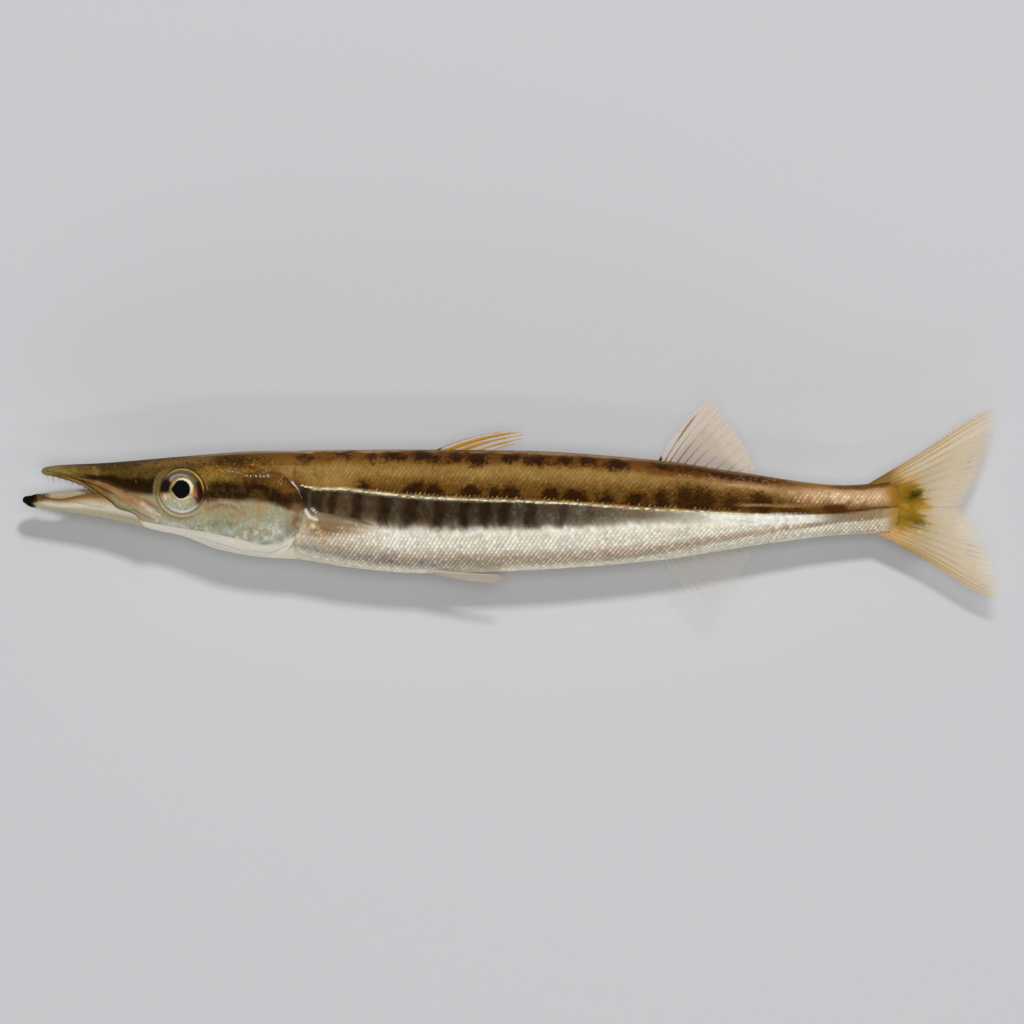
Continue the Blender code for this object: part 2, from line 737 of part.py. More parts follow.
make_head()
make_lower_jaw()
for side_name, side_way in (("left", 1), ("right", -1)):
    make_gill_cover("gill_cover_" + side_name, side_way)
    paint(eyeball("eye_" + side_name, side_way), (0.05, 0.045, 0.04), 0.1)
    pectoral("pectoral_fin_" + side_name, side_way)
    pelvic("pelvic_fin_" + side_name, side_way)
make_trunk()
make_tail()
first_dorsal("dorsal_fin_first")
median_fin("dorsal_fin_second", 77.8, 87.5, [(84.1, 13.2), (86.8, 9.4), (89.9, 4.25)], 0.03, 10)
median_fin("anal_fin", 78.4, 87.6, [(84.0, -13.2), (86.9, -9.8), (90.0, -5.6)], 0.03, 10, above=False)
caudal_lobe("tail_fin_upper", 1)
caudal_lobe("tail_fin_lower", -1)

# The skin is round everywhere, and only the mouth, the eye rims and the fin edges are sharp
for made in fish.objects:
    made.data.shade_smooth()
    made.data.set_sharp_from_angle(angle=math.radians(SHARP_ANGLE))
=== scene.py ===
"""The looks of a young barracuda, life size, lying on its right side as a museum model shows it.

Sizes are in millimetres. A place on the fish is given by along (from the chin tip back), height
(towards the back, from a straight line through the fish) and side (towards the left flank).
"""

import math

import bpy
import numpy as np
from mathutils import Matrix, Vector


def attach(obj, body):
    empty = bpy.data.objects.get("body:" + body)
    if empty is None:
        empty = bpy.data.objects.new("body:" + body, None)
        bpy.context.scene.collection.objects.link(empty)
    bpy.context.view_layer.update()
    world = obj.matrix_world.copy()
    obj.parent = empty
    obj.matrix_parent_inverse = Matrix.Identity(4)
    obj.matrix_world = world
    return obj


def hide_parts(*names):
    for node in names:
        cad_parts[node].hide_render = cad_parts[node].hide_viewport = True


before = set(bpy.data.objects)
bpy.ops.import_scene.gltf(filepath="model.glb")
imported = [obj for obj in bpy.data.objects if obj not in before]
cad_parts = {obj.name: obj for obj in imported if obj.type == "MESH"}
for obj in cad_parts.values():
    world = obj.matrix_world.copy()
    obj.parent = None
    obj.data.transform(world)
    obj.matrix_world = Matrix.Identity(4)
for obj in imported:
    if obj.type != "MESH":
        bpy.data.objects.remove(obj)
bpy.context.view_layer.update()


# The floor, the lights and the camera. The fish lies on a plain pale sheet under a soft lamp that
# stands on the side of its back, and pale walls light it from all round. The camera looks straight
# down from a metre and a half.

def new_object(name, data):
    """Puts a mesh, lamp or camera into the scene."""
    made = bpy.data.objects.new(name, data)
    bpy.context.scene.collection.objects.link(made)
    return made


def rgb(red, green, blue):
    """A colour as a screen shows it, from 0 to 255, as the light values that materials take."""
    return np.array([(c / 255 / 12.92) if c <= 10 else ((c / 255 + 0.055) / 1.055) ** 2.4
                     for c in (red, green, blue)])


def new_material(name, values):
    """A material and its shader, with the values of the shader's inputs by their names."""
    made = bpy.data.materials.new(name)
    made.use_nodes = True
    shader = made.node_tree.nodes["Principled BSDF"]
    for key, value in values.items():
        shader.inputs[key].default_value = value
    return made, shader


bpy.ops.mesh.primitive_plane_add(size=3.0, location=(0, 0, -0.0001))
floor = bpy.context.object
floor.name = "floor"
sheet, _ = new_material("pale_sheet",
                        {"Base Color": (0.60, 0.605, 0.62, 1), "Roughness": 0.7,
                         "Specular IOR Level": 0.2})
floor.data.materials.append(sheet)

world = bpy.data.worlds.new("pale_walls")
bpy.context.scene.world = world
world.use_nodes = True
world.node_tree.nodes["Background"].inputs["Color"].default_value = (0.97, 0.985, 1.0, 1)
world.node_tree.nodes["Background"].inputs["Strength"].default_value = 0.09


def soft_lamp(name, lean, turn, distance, width, depth, watts):
    """A lamp panel aimed at the fish. lean is its angle off the vertical, turn runs from +X to +Y."""
    data = bpy.data.lights.new(name, "AREA")
    data.shape = "RECTANGLE"
    data.size = width
    data.size_y = depth
    data.energy = watts
    lamp = new_object(name, data)
    lean, turn = math.radians(lean), math.radians(turn)
    place = Vector((math.sin(lean) * math.cos(turn), math.sin(lean) * math.sin(turn), math.cos(lean)))
    lamp.location = place * distance
    lamp.rotation_euler = place.to_track_quat("Z", "Y").to_euler()
    return lamp


for name, *panel in (("lamp_above_back", 34, 81, 1.2, 0.13, 0.13, 7.2),
                     ("pale_ceiling", 0, 0, 2.0, 1.0, 1.0, 14.2),
                     ("pale_wall_below_belly", 74, -88, 0.9, 0.9, 0.2, 2.2)):
    soft_lamp(name, *panel).visible_glossy = False
soft_lamp("window_above_back", 44, 84, 1.2, 0.16, 0.06, 0.35)
soft_lamp("window_below_belly", 43, -88, 0.9, 0.9, 0.10, 0.8)

camera_data = bpy.data.cameras.new("camera")
camera_data.sensor_width = 36.0
camera_data.lens = 428.8
camera = new_object("camera", camera_data)
camera.location = (-0.0003, -0.00092, 1.5)
camera_data.clip_start = 0.1
camera_data.clip_end = 10.0
bpy.context.scene.camera = camera
bpy.context.scene.view_settings.view_transform = "Standard"


# The skin: one unbroken surface over the snout, head, gill covers, trunk and tail, and another over
# the lower jaw, which it meets at the throat. It is thin wet skin, dark above and silvery below.

MM = 0.001
LENGTH = 120.5
TRUNK_START, BODY_END = 33.0, 107.9
REST_HEIGHT = 5.2
TAIL_DROOP = 1.4
DROOP_START = 52.0
COAT = 0.075             # depth of the scales over the skin


def curve_through(points):
    """A smooth function through (x, y) points that never overshoots them."""
    xs, ys = np.array(points, float).T
    rise = np.diff(ys) / np.diff(xs)
    slope = np.concatenate([rise[:1], np.zeros(len(xs) - 2), rise[-1:]])
    same = rise[:-1] * rise[1:] > 0
    total = np.where(same, rise[:-1] + rise[1:], 1.0)
    slope[1:-1] = np.where(same, 2 * rise[:-1] * rise[1:] / total, 0.0)

    def value(x):
        x = np.clip(np.asarray(x, float), xs[0], xs[-1])
        i = np.clip(np.searchsorted(xs, x, side="right") - 1, 0, len(xs) - 2)
        step = xs[i + 1] - xs[i]
        t = (x - xs[i]) / step
        return (ys[i] * (1 + 2 * t) * (1 - t) ** 2 + ys[i + 1] * t * t * (3 - 2 * t)
                + step * (slope[i] * t * (1 - t) ** 2 - slope[i + 1] * t * t * (1 - t)))

    return value


back = curve_through([(2.3, 4.12), (2.42, 4.4), (2.8, 4.6), (4.5, 4.85), (9.4, 5.08), (19.5, 5.9),
                      (29.0, 6.56), (48.7, 6.74), (61.0, 6.62), (78.0, 5.42), (88.0, 3.95),
                      (100.8, 2.39), (107.9, 3.0)])
belly = curve_through([(2.3, 3.98), (2.42, 3.76), (2.8, 3.6), (4.5, 3.13), (7.0, 2.27), (11.9, -0.92),
                       (13.6, -1.55), (15.0, -2.8), (19.5, -3.86), (24.2, -5.58), (29.0, -6.44),
                       (34.0, -6.8), (40.0, -7.75), (48.7, -8.46), (61.0, -8.15), (78.0, -6.87),
                       (88.0, -5.33), (100.8, -3.74), (107.9, -3.5)])
flank = curve_through([(2.3, 0.4), (3.0, 0.85), (7.0, 1.75), (14.0, 3.3), (19.5, 4.05), (29.0, 4.95),
                       (48.7, 5.45), (61.0, 5.4), (78.0, 4.5), (95.3, 2.65), (104.4, 1.45),
                       (106.2, 0.95), (107.2, 0.45), (107.9, 0.2)])
widest = curve_through([(2.3, 0.4), (13.0, 0.32), (17.0, 0.5), (40.0, 0.5), (107.9, 0.5)])
square_above = curve_through([(2.3, 2.0), (8.0, 2.2), (19.5, 2.9), (40.0, 2.3), (107.9, 2.0)])
square_below = curve_through([(2.3, 2.4), (8.0, 3.2), (13.6, 3.2), (17.0, 1.9), (40.0, 2.1),
                              (107.9, 2.0)])
lateral_line = curve_through([(33.5, 2.6), (36.4, 1.9), (38.9, 1.9), (42.1, 1.53), (46.1, 1.1),
                              (50.1, 0.8), (54.2, 0.6), (59.7, 0.43), (66.3, 0.18), (73.1, -0.31),
                              (77.1, -0.61), (85.5, -1.0), (91.5, -1.2), (97.6, -1.2), (101.6, -1.0),
                              (104.2, -0.67), (107.3, -0.39)])


def at(along, height, side):
    """Places on the fish as an array of positions in millimetres, with the fish lying on the floor."""
    along, height, side = np.broadcast_arrays(along, height, side)
    t = np.clip((along - DROOP_START) / (LENGTH - DROOP_START), 0, 1)
    middle = REST_HEIGHT - TAIL_DROOP * t * t
    return np.stack([along - LENGTH / 2, height, np.maximum(middle + side, 0.004)], axis=-1)


def signed_power(value, power):
    """A power of the size of a value, with the value's sign."""
    return np.sign(value) * np.abs(value) ** power


def body_place(along, angle, inset=0.0):
    """(along, height, side) on the body at an angle: 0 is the left flank and a quarter turn the back."""
    low, high = belly(along) + inset, back(along) - inset
    level = low + (high - low) * widest(along)
    c, s = np.cos(angle), np.sin(angle)
    power = 2 / np.where(s >= 0, square_above(along), square_below(along))
    reach = np.where(s >= 0, high - level, level - low)
    return along, level + reach * signed_power(s, power), (flank(along) - inset) * signed_power(c, power)


def side_at(along, height):
    """How far out the flank is at a height."""
    low, high = belly(along), back(along)
    level = low + (high - low) * widest(along)
    power = np.where(height >= level, square_above(along), square_below(along))
    reach = np.where(height >= level, high - level, level - low)
    share = np.clip(np.abs(height - level) / reach, 0, 1)
    return flank(along) * (1 - share ** power) ** (1 / power)


def smooth(value, low, high):
    """0 below low, 1 above high, and a soft step between."""
    t = np.clip((value - low) / (high - low), 0, 1)
    return t * t * (3 - 2 * t)


def falls(value, low, high):
    """1 below low, 0 above high, and a soft step between."""
    return 1 - smooth(value, low, high)


def between(value, start, full, fade, end):
    """Rises from 0 to 1 from start to full, and falls back to 0 from fade to end."""
    return smooth(value, start, full) * falls(value, fade, end)


def bump(value, middle, half):
    """1 at the middle, falling softly to 0 about two half widths away."""
    return np.exp(-((value - middle) / half) ** 2)


def spot(along, height, centre, half_long, half_tall, edge=0.35):
    """An oval patch: 1 inside, 0 outside, with a soft edge."""
    reach = np.sqrt(((along - centre[0]) / half_long) ** 2 + ((height - centre[1]) / half_tall) ** 2)
    return 1 - smooth(reach, 1 - edge, 1 + edge)


def line_distance(along, height, line):
    """Distance to a drawn line, how far along it (0 to 1), and which side: positive is above it."""
    best = np.full(along.shape, 1e9)
    part, over = np.zeros(along.shape), np.zeros(along.shape)
    count = len(line) - 1
    for k in range(count):
        (x0, y0), (x1, y1) = line[k], line[k + 1]
        dx, dy = x1 - x0, y1 - y0
        t = np.clip(((along - x0) * dx + (height - y0) * dy) / (dx * dx + dy * dy), 0, 1)
        away = np.hypot(along - x0 - t * dx, height - y0 - t * dy)
        closer = away < best
        best = np.where(closer, away, best)
        part = np.where(closer, (k + t) / count, part)
        over = np.where(closer, np.sign(dx * (height - y0) - dy * (along - x0)), over)
    return best, part, over


def streak(along, height, line, half, fade=0.15):
    """A thin drawn line that fades at both ends: 1 on it, 0 away from it."""
    away, part, _ = line_distance(along, height, line)
    return np.exp(-(away / half) ** 2) * between(part, 0, fade, 1 - fade, 1)


def mottle(along, height, size, seed):
    """Smooth random values from -1 to 1, with patches of about a size."""
    table = np.random.default_rng(seed).uniform(-1, 1, (64, 64))
    x, y = along / size + 7.3, height / size + 31.7
    i, j = np.floor(x).astype(int), np.floor(y).astype(int)
    fx, fy = x - i, y - j
    fx, fy = fx * fx * (3 - 2 * fx), fy * fy * (3 - 2 * fy)
    i0, j0, i1, j1 = i % 64, j % 64, (i + 1) % 64, (j + 1) % 64
    return ((table[i0, j0] * (1 - fx) + table[i1, j0] * fx) * (1 - fy)
            + (table[i0, j1] * (1 - fx) + table[i1, j1] * fx) * fy)


def way_round(along, height):
    """Height, with the way over the top and bottom added so that mottles are not stretched there."""
    spare = np.clip(0.5 * flank(along) - side_at(along, height), 0, None)
    return height + np.where(height > 0.5 * (back(along) + belly(along)), 1.3, -1.3) * spare


# Lines of the head that both its relief and its colours follow
gill_edge = curve_through([(-6.6, 30.9), (-5.95, 32.1), (-4.72, 33.1), (-3.37, 33.8), (-2.15, 34.3),
                           (-0.92, 34.6), (0.67, 34.3), (1.9, 33.8), (2.88, 32.9), (4.23, 31.5),
                           (6.7, 30.0)])
CHEEK_RIDGE = [(22.6, -0.75), (23.2, -0.06), (24.4, 0.32), (25.6, 0.2), (26.9, -0.5)]
PREOPERCLE = [(27.2, 3.7), (27.9, 2.2), (28.6, 0.6), (28.7, -1.2), (28.0, -2.7), (26.6, -3.9),
              (24.0, -3.6)]
COVER_RIM = [(20.2, -3.0), (22.9, -3.5), (25.9, -4.15), (29.5, -5.0), (31.5, -4.85), (32.7, -4.1),
             (33.4, -3.0)]
THROAT_FOLD = [(20.5, -3.7), (23.6, -4.7), (26.6, -5.6), (30.3, -6.0), (32.2, -5.2), (33.2, -4.2)]
THROAT_FOLD_LOW = [(22.0, -4.6), (25.5, -5.7), (29.0, -6.2), (31.0, -6.2)]
SNOUT_CREASE = [(4.4, 4.15), (7.0, 3.35), (9.4, 2.75), (12.1, 1.75)]
LIP_CREASE = [(4.6, 3.75), (7.0, 2.9), (9.4, 1.85), (11.9, 0.5), (13.0, 0.1)]
JAW_BONE = [(11.0, 0.95), (12.0, 0.35), (13.2, -0.35), (14.1, -1.0), (14.15, -1.5)]
CHEEK_FOLD = [(14.1, 0.55), (15.2, -0.2), (16.4, -1.1), (18.2, -1.9)]
EYE_ALONG, EYE_HEIGHT, EYE_RADIUS = 19.66, 1.64, 2.8
REAR_NOSTRIL, FRONT_NOSTRIL = (13.7, 2.75), (12.9, 3.05)


def relief(along, height, facing):
    """How far the skin stands out of the plain body form. facing is 1 where it looks sideways."""
    def drawn(line, half, fade=0.15):
        return streak(along, height, line, half, fade)

    out = np.zeros(along.shape)
    # eye socket and the ring of skin round it
    far = np.hypot(along - EYE_ALONG, height - EYE_HEIGHT)
    out += 0.08 * bump(far, EYE_RADIUS + 0.32, 0.24) - 0.03 * bump(far, EYE_RADIUS + 0.85, 0.2)
    out -= 1.3 * falls(far, EYE_RADIUS - 0.3, EYE_RADIUS + 0.03)
    # upper lip and the jaw bone that widens behind it
    lip = height - belly(along)
    mouth = 1 - smooth(along, 13.6, 14.2)
    out += mouth * (0.09 * bump(lip, 0.22, 0.2) - 0.07 * bump(lip, 0.5, 0.1))
    out -= 0.07 * drawn(LIP_CREASE, 0.12) + 0.06 * drawn(SNOUT_CREASE, 0.14)
    away, part, above = line_distance(along, height, JAW_BONE)
    bone = np.where(above < 0, smooth(away, 0.0, 0.15), 0.0) * smooth(along, 10.8, 11.6) * mouth
    out += 0.12 * bone - 0.1 * drawn(JAW_BONE, 0.12)
    out -= 0.1 * drawn(CHEEK_FOLD, 0.16) - 0.08 * streak(along, height + 0.3, CHEEK_FOLD, 0.2)
    # nostrils
    out -= 0.35 * bump(np.hypot(along - REAR_NOSTRIL[0], (height - REAR_NOSTRIL[1]) * 0.8), 0, 0.13)
    out += 0.05 * bump(np.hypot(along - REAR_NOSTRIL[0], height - REAR_NOSTRIL[1]), 0.27, 0.1)
    out -= 0.25 * bump(np.hypot(along - FRONT_NOSTRIL[0], height - FRONT_NOSTRIL[1]), 0, 0.09)
    # cheek, gill cover and throat
    out += 0.09 * drawn(CHEEK_RIDGE, 0.22)
    away, part, above = line_distance(along, height, PREOPERCLE)
    out += 0.1 * np.exp(-(away / 0.5) ** 2) * np.where(above < 0, 1, 0.15) * smooth(part, 0, 0.1)
    out -= 0.1 * drawn([(p[0] + 0.25, p[1]) for p in PREOPERCLE], 0.12)
    away, part, above = line_distance(along, height, COVER_RIM)
    out += np.where(above > 0, 0.12, 0.0) * between(away, 0, 0.1, 0.3, 1.5)
    out -= 0.1 * drawn(THROAT_FOLD, 0.12) + 0.07 * drawn(THROAT_FOLD_LOW, 0.12)
    # the gill cover's free edge stands over the shoulder
    past = along - gill_edge(height)
    open_part = 1 - smooth(height, 4.0, 5.0)
    out += open_part * np.where(past < 0, 0.16 * np.exp(past / 0.5), -0.2 * np.exp(-past / 1.3))
    # girdle ridges behind the gill opening, where the breast fin is rooted
    out += 0.12 * drawn([(34.6, -0.4), (35.4, -1.6), (36.5, -1.9)], 0.2)
    out += 0.1 * drawn([(35.2, -2.2), (36.2, -3.3), (37.1, -4.4)], 0.25)
    # faint grooves along the crown
    out -= 0.05 * drawn([(8.0, 4.5), (14.0, 4.7), (22.0, 5.3)], 0.2)
    return out * facing


def normals_of(grid):
    """Outward directions of a grid of places, closed round its second axis."""
    down = np.gradient(grid, axis=0)
    round_ = np.roll(grid, -1, axis=1) - np.roll(grid, 1, axis=1)
    cross = np.cross(down, round_)
    size = np.linalg.norm(cross, axis=-1, keepdims=True)
    return cross / np.maximum(size, 1e-9)


def closed_grid_faces(rows, columns, start=0):
    """Quads of a tube of vertices, for rows rings of columns corners."""
    r, c = np.meshgrid(np.arange(rows - 1), np.arange(columns), indexing="ij")
    a = start + r * columns + c
    b = start + r * columns + (c + 1) % columns
    return np.stack([a, b, b + columns, a + columns], axis=-1).reshape(-1, 4)


def mesh_piece(name, corners, faces, paint=None, values=None, uv=None):
    """A mesh object from corners in millimetres, with a colour and named values at each corner.

    faces is a list of faces, or all their corners in one row and how many each face has.
    """
    if isinstance(faces, tuple):
        loops, sizes = faces
    else:
        sizes = np.array([len(f) for f in faces])
        loops = np.concatenate([np.asarray(f) for f in faces])
    mesh = bpy.data.meshes.new(name)
    mesh.vertices.add(len(corners))
    mesh.vertices.foreach_set("co", (np.asarray(corners) * MM).astype(np.float32).ravel())
    mesh.loops.add(len(loops))
    mesh.loops.foreach_set("vertex_index", loops.astype(np.int32))
    mesh.polygons.add(len(sizes))
    mesh.polygons.foreach_set("loop_start", (np.cumsum(sizes) - sizes).astype(np.int32))
    mesh.update(calc_edges=True)
    if paint is not None:
        colour = mesh.color_attributes.new("paint", "FLOAT_COLOR", "POINT")
        rgba = np.concatenate([np.clip(paint, 0, 1), np.ones((len(paint), 1))], axis=1)
        colour.data.foreach_set("color", rgba.astype(np.float32).ravel())
    for key, value in (values or {}).items():
        layer_made = mesh.attributes.new(key, "FLOAT", "POINT")
        layer_made.data.foreach_set("value", np.asarray(value, np.float32).ravel())
    if uv is not None:
        layer_made = mesh.uv_layers.new(name="OFBake")
        layer_made.data.foreach_set("uv", np.asarray(uv)[loops].astype(np.float32).ravel())
    mesh.shade_smooth()
    return new_object(name, mesh)


# Colours of the skin, named as they look
C = {name: rgb(*screen) for name, screen in {
    "edge_tan": (206, 176, 126), "umber": (116, 73, 22), "low_umber": (104, 70, 24),
    "blotch": (46, 22, 3), "olive_tan": (162, 126, 68), "rust": (112, 68, 24), "stripe": (60, 46, 30),
    "stripe_front": (84, 64, 42), "bar": (34, 22, 11), "grey_brown": (116, 100, 78),
    "silver": (246, 240, 222), "net": (212, 190, 166), "belly_grey": (198, 184, 162),
    "belly_blue": (138, 150, 148), "cream": (248, 242, 220), "front_silver": (184, 160, 118),
    "copper": (228, 186, 140), "snout": (136, 122, 66), "crown": (62, 40, 12), "olive": (92, 70, 28),
    "eye_stripe": (32, 19, 6), "orange_brown": (116, 80, 34), "gold": (176, 128, 50),
    "cheek": (164, 154, 122), "cheek_green": (146, 156, 126), "cheek_pink": (180, 146, 116),
    "cheek_blue": (150, 170, 168), "fold_tan": (156, 114, 66), "jaw_silver": (134, 134, 104),
    "jaw_cream": (190, 180, 150), "lip_brown": (122, 88, 40), "chin_black": (22, 15, 7),
    "bright": (236, 232, 214), "white_glint": (250, 250, 242), "yellow_glint": (232, 216, 140),
    "throat": (234, 228, 212), "eye_ring": (128, 104, 62), "gill_red": (132, 100, 72)}.items()}

# Blotches along the back and the row just over the lateral line, as (along, half length, strength)
BACK_BLOTCHES = [(34.6, 1.6, 0.45), (39.2, 1.5, 0.75), (42.7, 1.1, 0.8), (45.4, 1.5, 0.95),
                 (49.3, 1.7, 0.95), (52.8, 1.1, 0.8), (55.5, 1.6, 1.15), (59.7, 1.3, 0.9),
                 (63.0, 1.9, 0.9), (66.4, 1.2, 0.8), (69.3, 1.4, 0.85), (73.0, 1.6, 1.0)]
LINE_BLOTCHES = [(41.6, 1.1, 0.7), (48.2, 1.3, 0.95), (50.4, 1.0, 1.05), (54.6, 1.1, 1.15),
                 (57.7, 0.9, 0.95), (59.7, 1.1, 1.05), (64.6, 1.2, 0.95), (67.5, 1.3, 1.1),
                 (71.3, 1.0, 0.8), (75.4, 1.3, 0.9), (78.1, 1.1, 1.0), (81.4, 1.2, 0.95),
                 (83.4, 1.3, 1.1), (86.7, 1.1, 0.75), (90.4, 1.2, 1.1), (94.5, 1.2, 0.5)]
FLANK_BARS = [(34.5, 0.8), (36.2, 0.9), (38.0, 0.7), (41.1, 0.8), (44.4, 0.9), (47.7, 0.9), (51.1, 0.9),
              (54.2, 0.9), (56.6, 0.8), (59.1, 0.8), (62.2, 0.8), (66.2, 0.7), (69.4, 0.6)]
tan_middle = curve_through([(33.0, 0.4), (46.0, 0.54), (60.0, 0.58), (72.0, 0.6), (82.0, 0.67),
                            (89.0, 0.72), (96.5, 0.64), (101.0, 0.6), (107.9, 0.35)])
tan_half = curve_through([(33.0, 0.26), (46.0, 0.19), (60.0, 0.19), (74.0, 0.16), (82.0, 0.12),
                          (89.0, 0.11), (96.5, 0.22), (101.0, 0.25), (107.9, 0.4)])
stripe_edge = curve_through([(33.0, 0.3), (36.0, 0.33), (39.5, 0.38), (42.5, 0.37), (46.0, 0.375),
                             (55.5, 0.36), (66.0, 0.345), (71.0, 0.29), (77.0, 0.25), (107.9, 0.2)])
net_middle = curve_through([(33.0, 0.79), (46.0, 0.86), (71.0, 0.86), (82.0, 0.75), (89.0, 0.63),
                            (96.5, 0.5), (101.0, 0.36), (107.9, 0.3)])


def layer(base, colour, amount):
    """Lays a colour over base by an amount from 0 to 1."""
    amount = np.clip(amount, 0, 1)[..., None]
    return base * (1 - amount) + colour * amount


def layers(base, coats):
    """Lays a list of (colour, amount) over base, the first one lowest."""
    for colour, amount in coats:
        base = layer(base, colour, amount)
    return base


def flecks(along, height, size, seed, share=0.55):
    """Small random dots: 1 in the dots and 0 between them."""
    return smooth(mottle(along, height, size, seed), share, share + 0.25)


def body_paint(along, height):
    """Colour, silver sheen, dark pepper, scale net and glitter of the trunk and tail."""
    def drawn(line, half, fade=0.15):
        return streak(along, height, line, half, fade)

    top, line, low = back(along), lateral_line(along), belly(along)
    around = way_round(along, height)
    up = (height - line) / np.maximum(top - line, 0.3)
    down = (line - height) / np.maximum(line - low, 0.3)
    rear = between(along, 76, 82, 91, 96)
    tail = smooth(along, 90, 98)
    end = smooth(along, 101, 105)
    coarse, middling = mottle(along, around, 1.7, 3), mottle(along, around, 0.6, 4)
    fine = mottle(along, around, 0.24, 6)
    wander = 0.03 * coarse + 0.022 * middling + 0.012 * fine

    # above the lateral line: brown, with an olive tan band and two rows of ragged dark blotches
    above = layers(C["umber"], [
        (C["edge_tan"], 0.15 * tail),
        (C["low_umber"], falls(up + wander, 0.2, 0.46) * smooth(along, 38, 46)),
        (C["olive_tan"], 0.95 * falls(up, 0.5, 0.7) * falls(along, 38, 43) * smooth(along, 33.5, 36.5)),
        (C["bar"], 0.4 * rear * falls(up + wander, 0.3, 0.62))])
    band = bump(up + wander, tan_middle(along), tan_half(along)) * (1 - 0.25 * bump(along, 82, 4))
    band *= 1 - 0.22 * bump(along, 50.5, 3.0)
    above = layer(above, C["olive_tan"], band * (1 - tail) * (0.95 + 0.2 * middling + 0.1 * fine))
    copper = band * np.maximum(tail, 0.75 * bump(along, 89, 3.5))
    above = layers(above, [
        (C["copper"], copper * (0.9 + 0.25 * middling + 0.15 * fine)),
        (C["rust"], (0.35 + 0.4 * smooth(along, 40, 46)) * falls(up, 0.05, 0.16) * (1 - tail)),
        (rgb(104, 56, 16), 0.55 * smooth(up + wander, 0.66, 0.76) * smooth(along, 42, 50) * (1 - tail)),
        (C["crown"], 0.55 * smooth(middling + 0.7 * fine, -0.3, 0.8) * falls(along, 34.5, 38.5)),
        (rgb(96, 54, 18), 0.95 * smooth(up + wander, 0.74, 0.86) * rear),
        (rgb(104, 64, 20), 0.9 * smooth(up + wander + 0.1 * smooth(along, 98, 103), 0.83, 0.93) * tail),
        (rgb(168, 118, 46), 0.75 * smooth(up, 0.8, 0.9) * bump(along + coarse, 97.6, 1.3)),
        (C["low_umber"], 0.5 * end * falls(up, 0.0, 0.2)),
        # pinkish-white painted glints in mottles on the tail root
        (rgb(244, 214, 184), 0.45 * smooth(fine + 0.6 * middling, -0.1, 0.7) * bump(up, 0.5, 0.2)
         * between(along, 97, 99, 103.5, 106))])
    last = smooth(along + 0.3 * middling, 105.2, 106.6)
    above = layers(above, [
        (rgb(160, 114, 50), 0.9 * last * falls(up, 0.8, 0.9)),
        (rgb(128, 88, 28), 0.9 * last * smooth(up, 0.8, 0.9))])
    root = smooth(along + 0.35 * middling + 0.25 * fine, 106.0, 107.3)
    above = layer(above, rgb(156, 112, 20), 0.9 * root)
    dark = np.zeros(along.shape)
    shifted = along + 0.5 * mottle(along, around, 1.1, 5)
    for middle, half, strength in BACK_BLOTCHES:
        dark = np.maximum(dark, strength * bump(shifted, middle, half)
                          * np.maximum(bump(up + 2 * wander, 0.83, 0.13), 0.6 * smooth(up, 0.95, 1.0)))
    dark = np.maximum(dark, (0.5 + 0.3 * coarse) * between(along, 74, 79, 88, 96) * bump(up, 0.89, 0.1))
    low_half = 0.16 + 0.1 * rear
    for middle, half, strength in LINE_BLOTCHES:
        dark = np.maximum(dark, 1.2 * strength * bump(shifted, middle, half)
                          * bump(up + 1.6 * wander, 0.14 + 0.1 * rear, low_half))
    streak_half = 0.1 + 0.1 * bump(along, 96, 4)
    reach = between(along, 91, 95, 107, 109)
    dark = np.maximum(dark, (0.72 - 0.3 * bump(along, 97, 2.5)) * reach
                      * (1 - 0.35 * smooth(along, 101, 102.5)) * bump(up, 0.06, streak_half * 0.7))
    dark = np.maximum(dark, spot(along + 0.4 * middling, height, (99.6, -0.55), 1.5, 0.55, 0.6))
    halo = smooth(dark, 0.02, 0.35)
    dark = smooth(dark + (0.14 * middling + 0.26 * fine) * smooth(dark, 0.05, 0.4), 0.12, 0.8)
    above = layers(above, [
        (C["blotch"], dark * (0.95 - 0.25 * rear - 0.2 * tail)),
        (C["blotch"] * 0.6, flecks(along, around, 0.17, 8, 0.25) * (1 - 0.7 * tail)
         * (0.14 + 0.66 * halo)),
        (C["yellow_glint"] * 0.55, 0.22 * flecks(along * 1.6 - height * 0.8, around, 0.25, 9, 0.3)
         * bump(up, 0.42, 0.2) * (1 - tail) * (1 - 0.8 * dark))])
    pale_edge = smooth(up + wander, 0.925, 0.985)
    pale_edge *= (0.65 + 0.25 * falls(along, 40, 50) - 0.25 * bump(along, 55, 5)
                  - 0.2 * smooth(along, 72, 78))
    above = layer(above, rgb(188, 158, 114), pale_edge * (1 - 0.3 * tail) * (1 - 0.5 * dark))

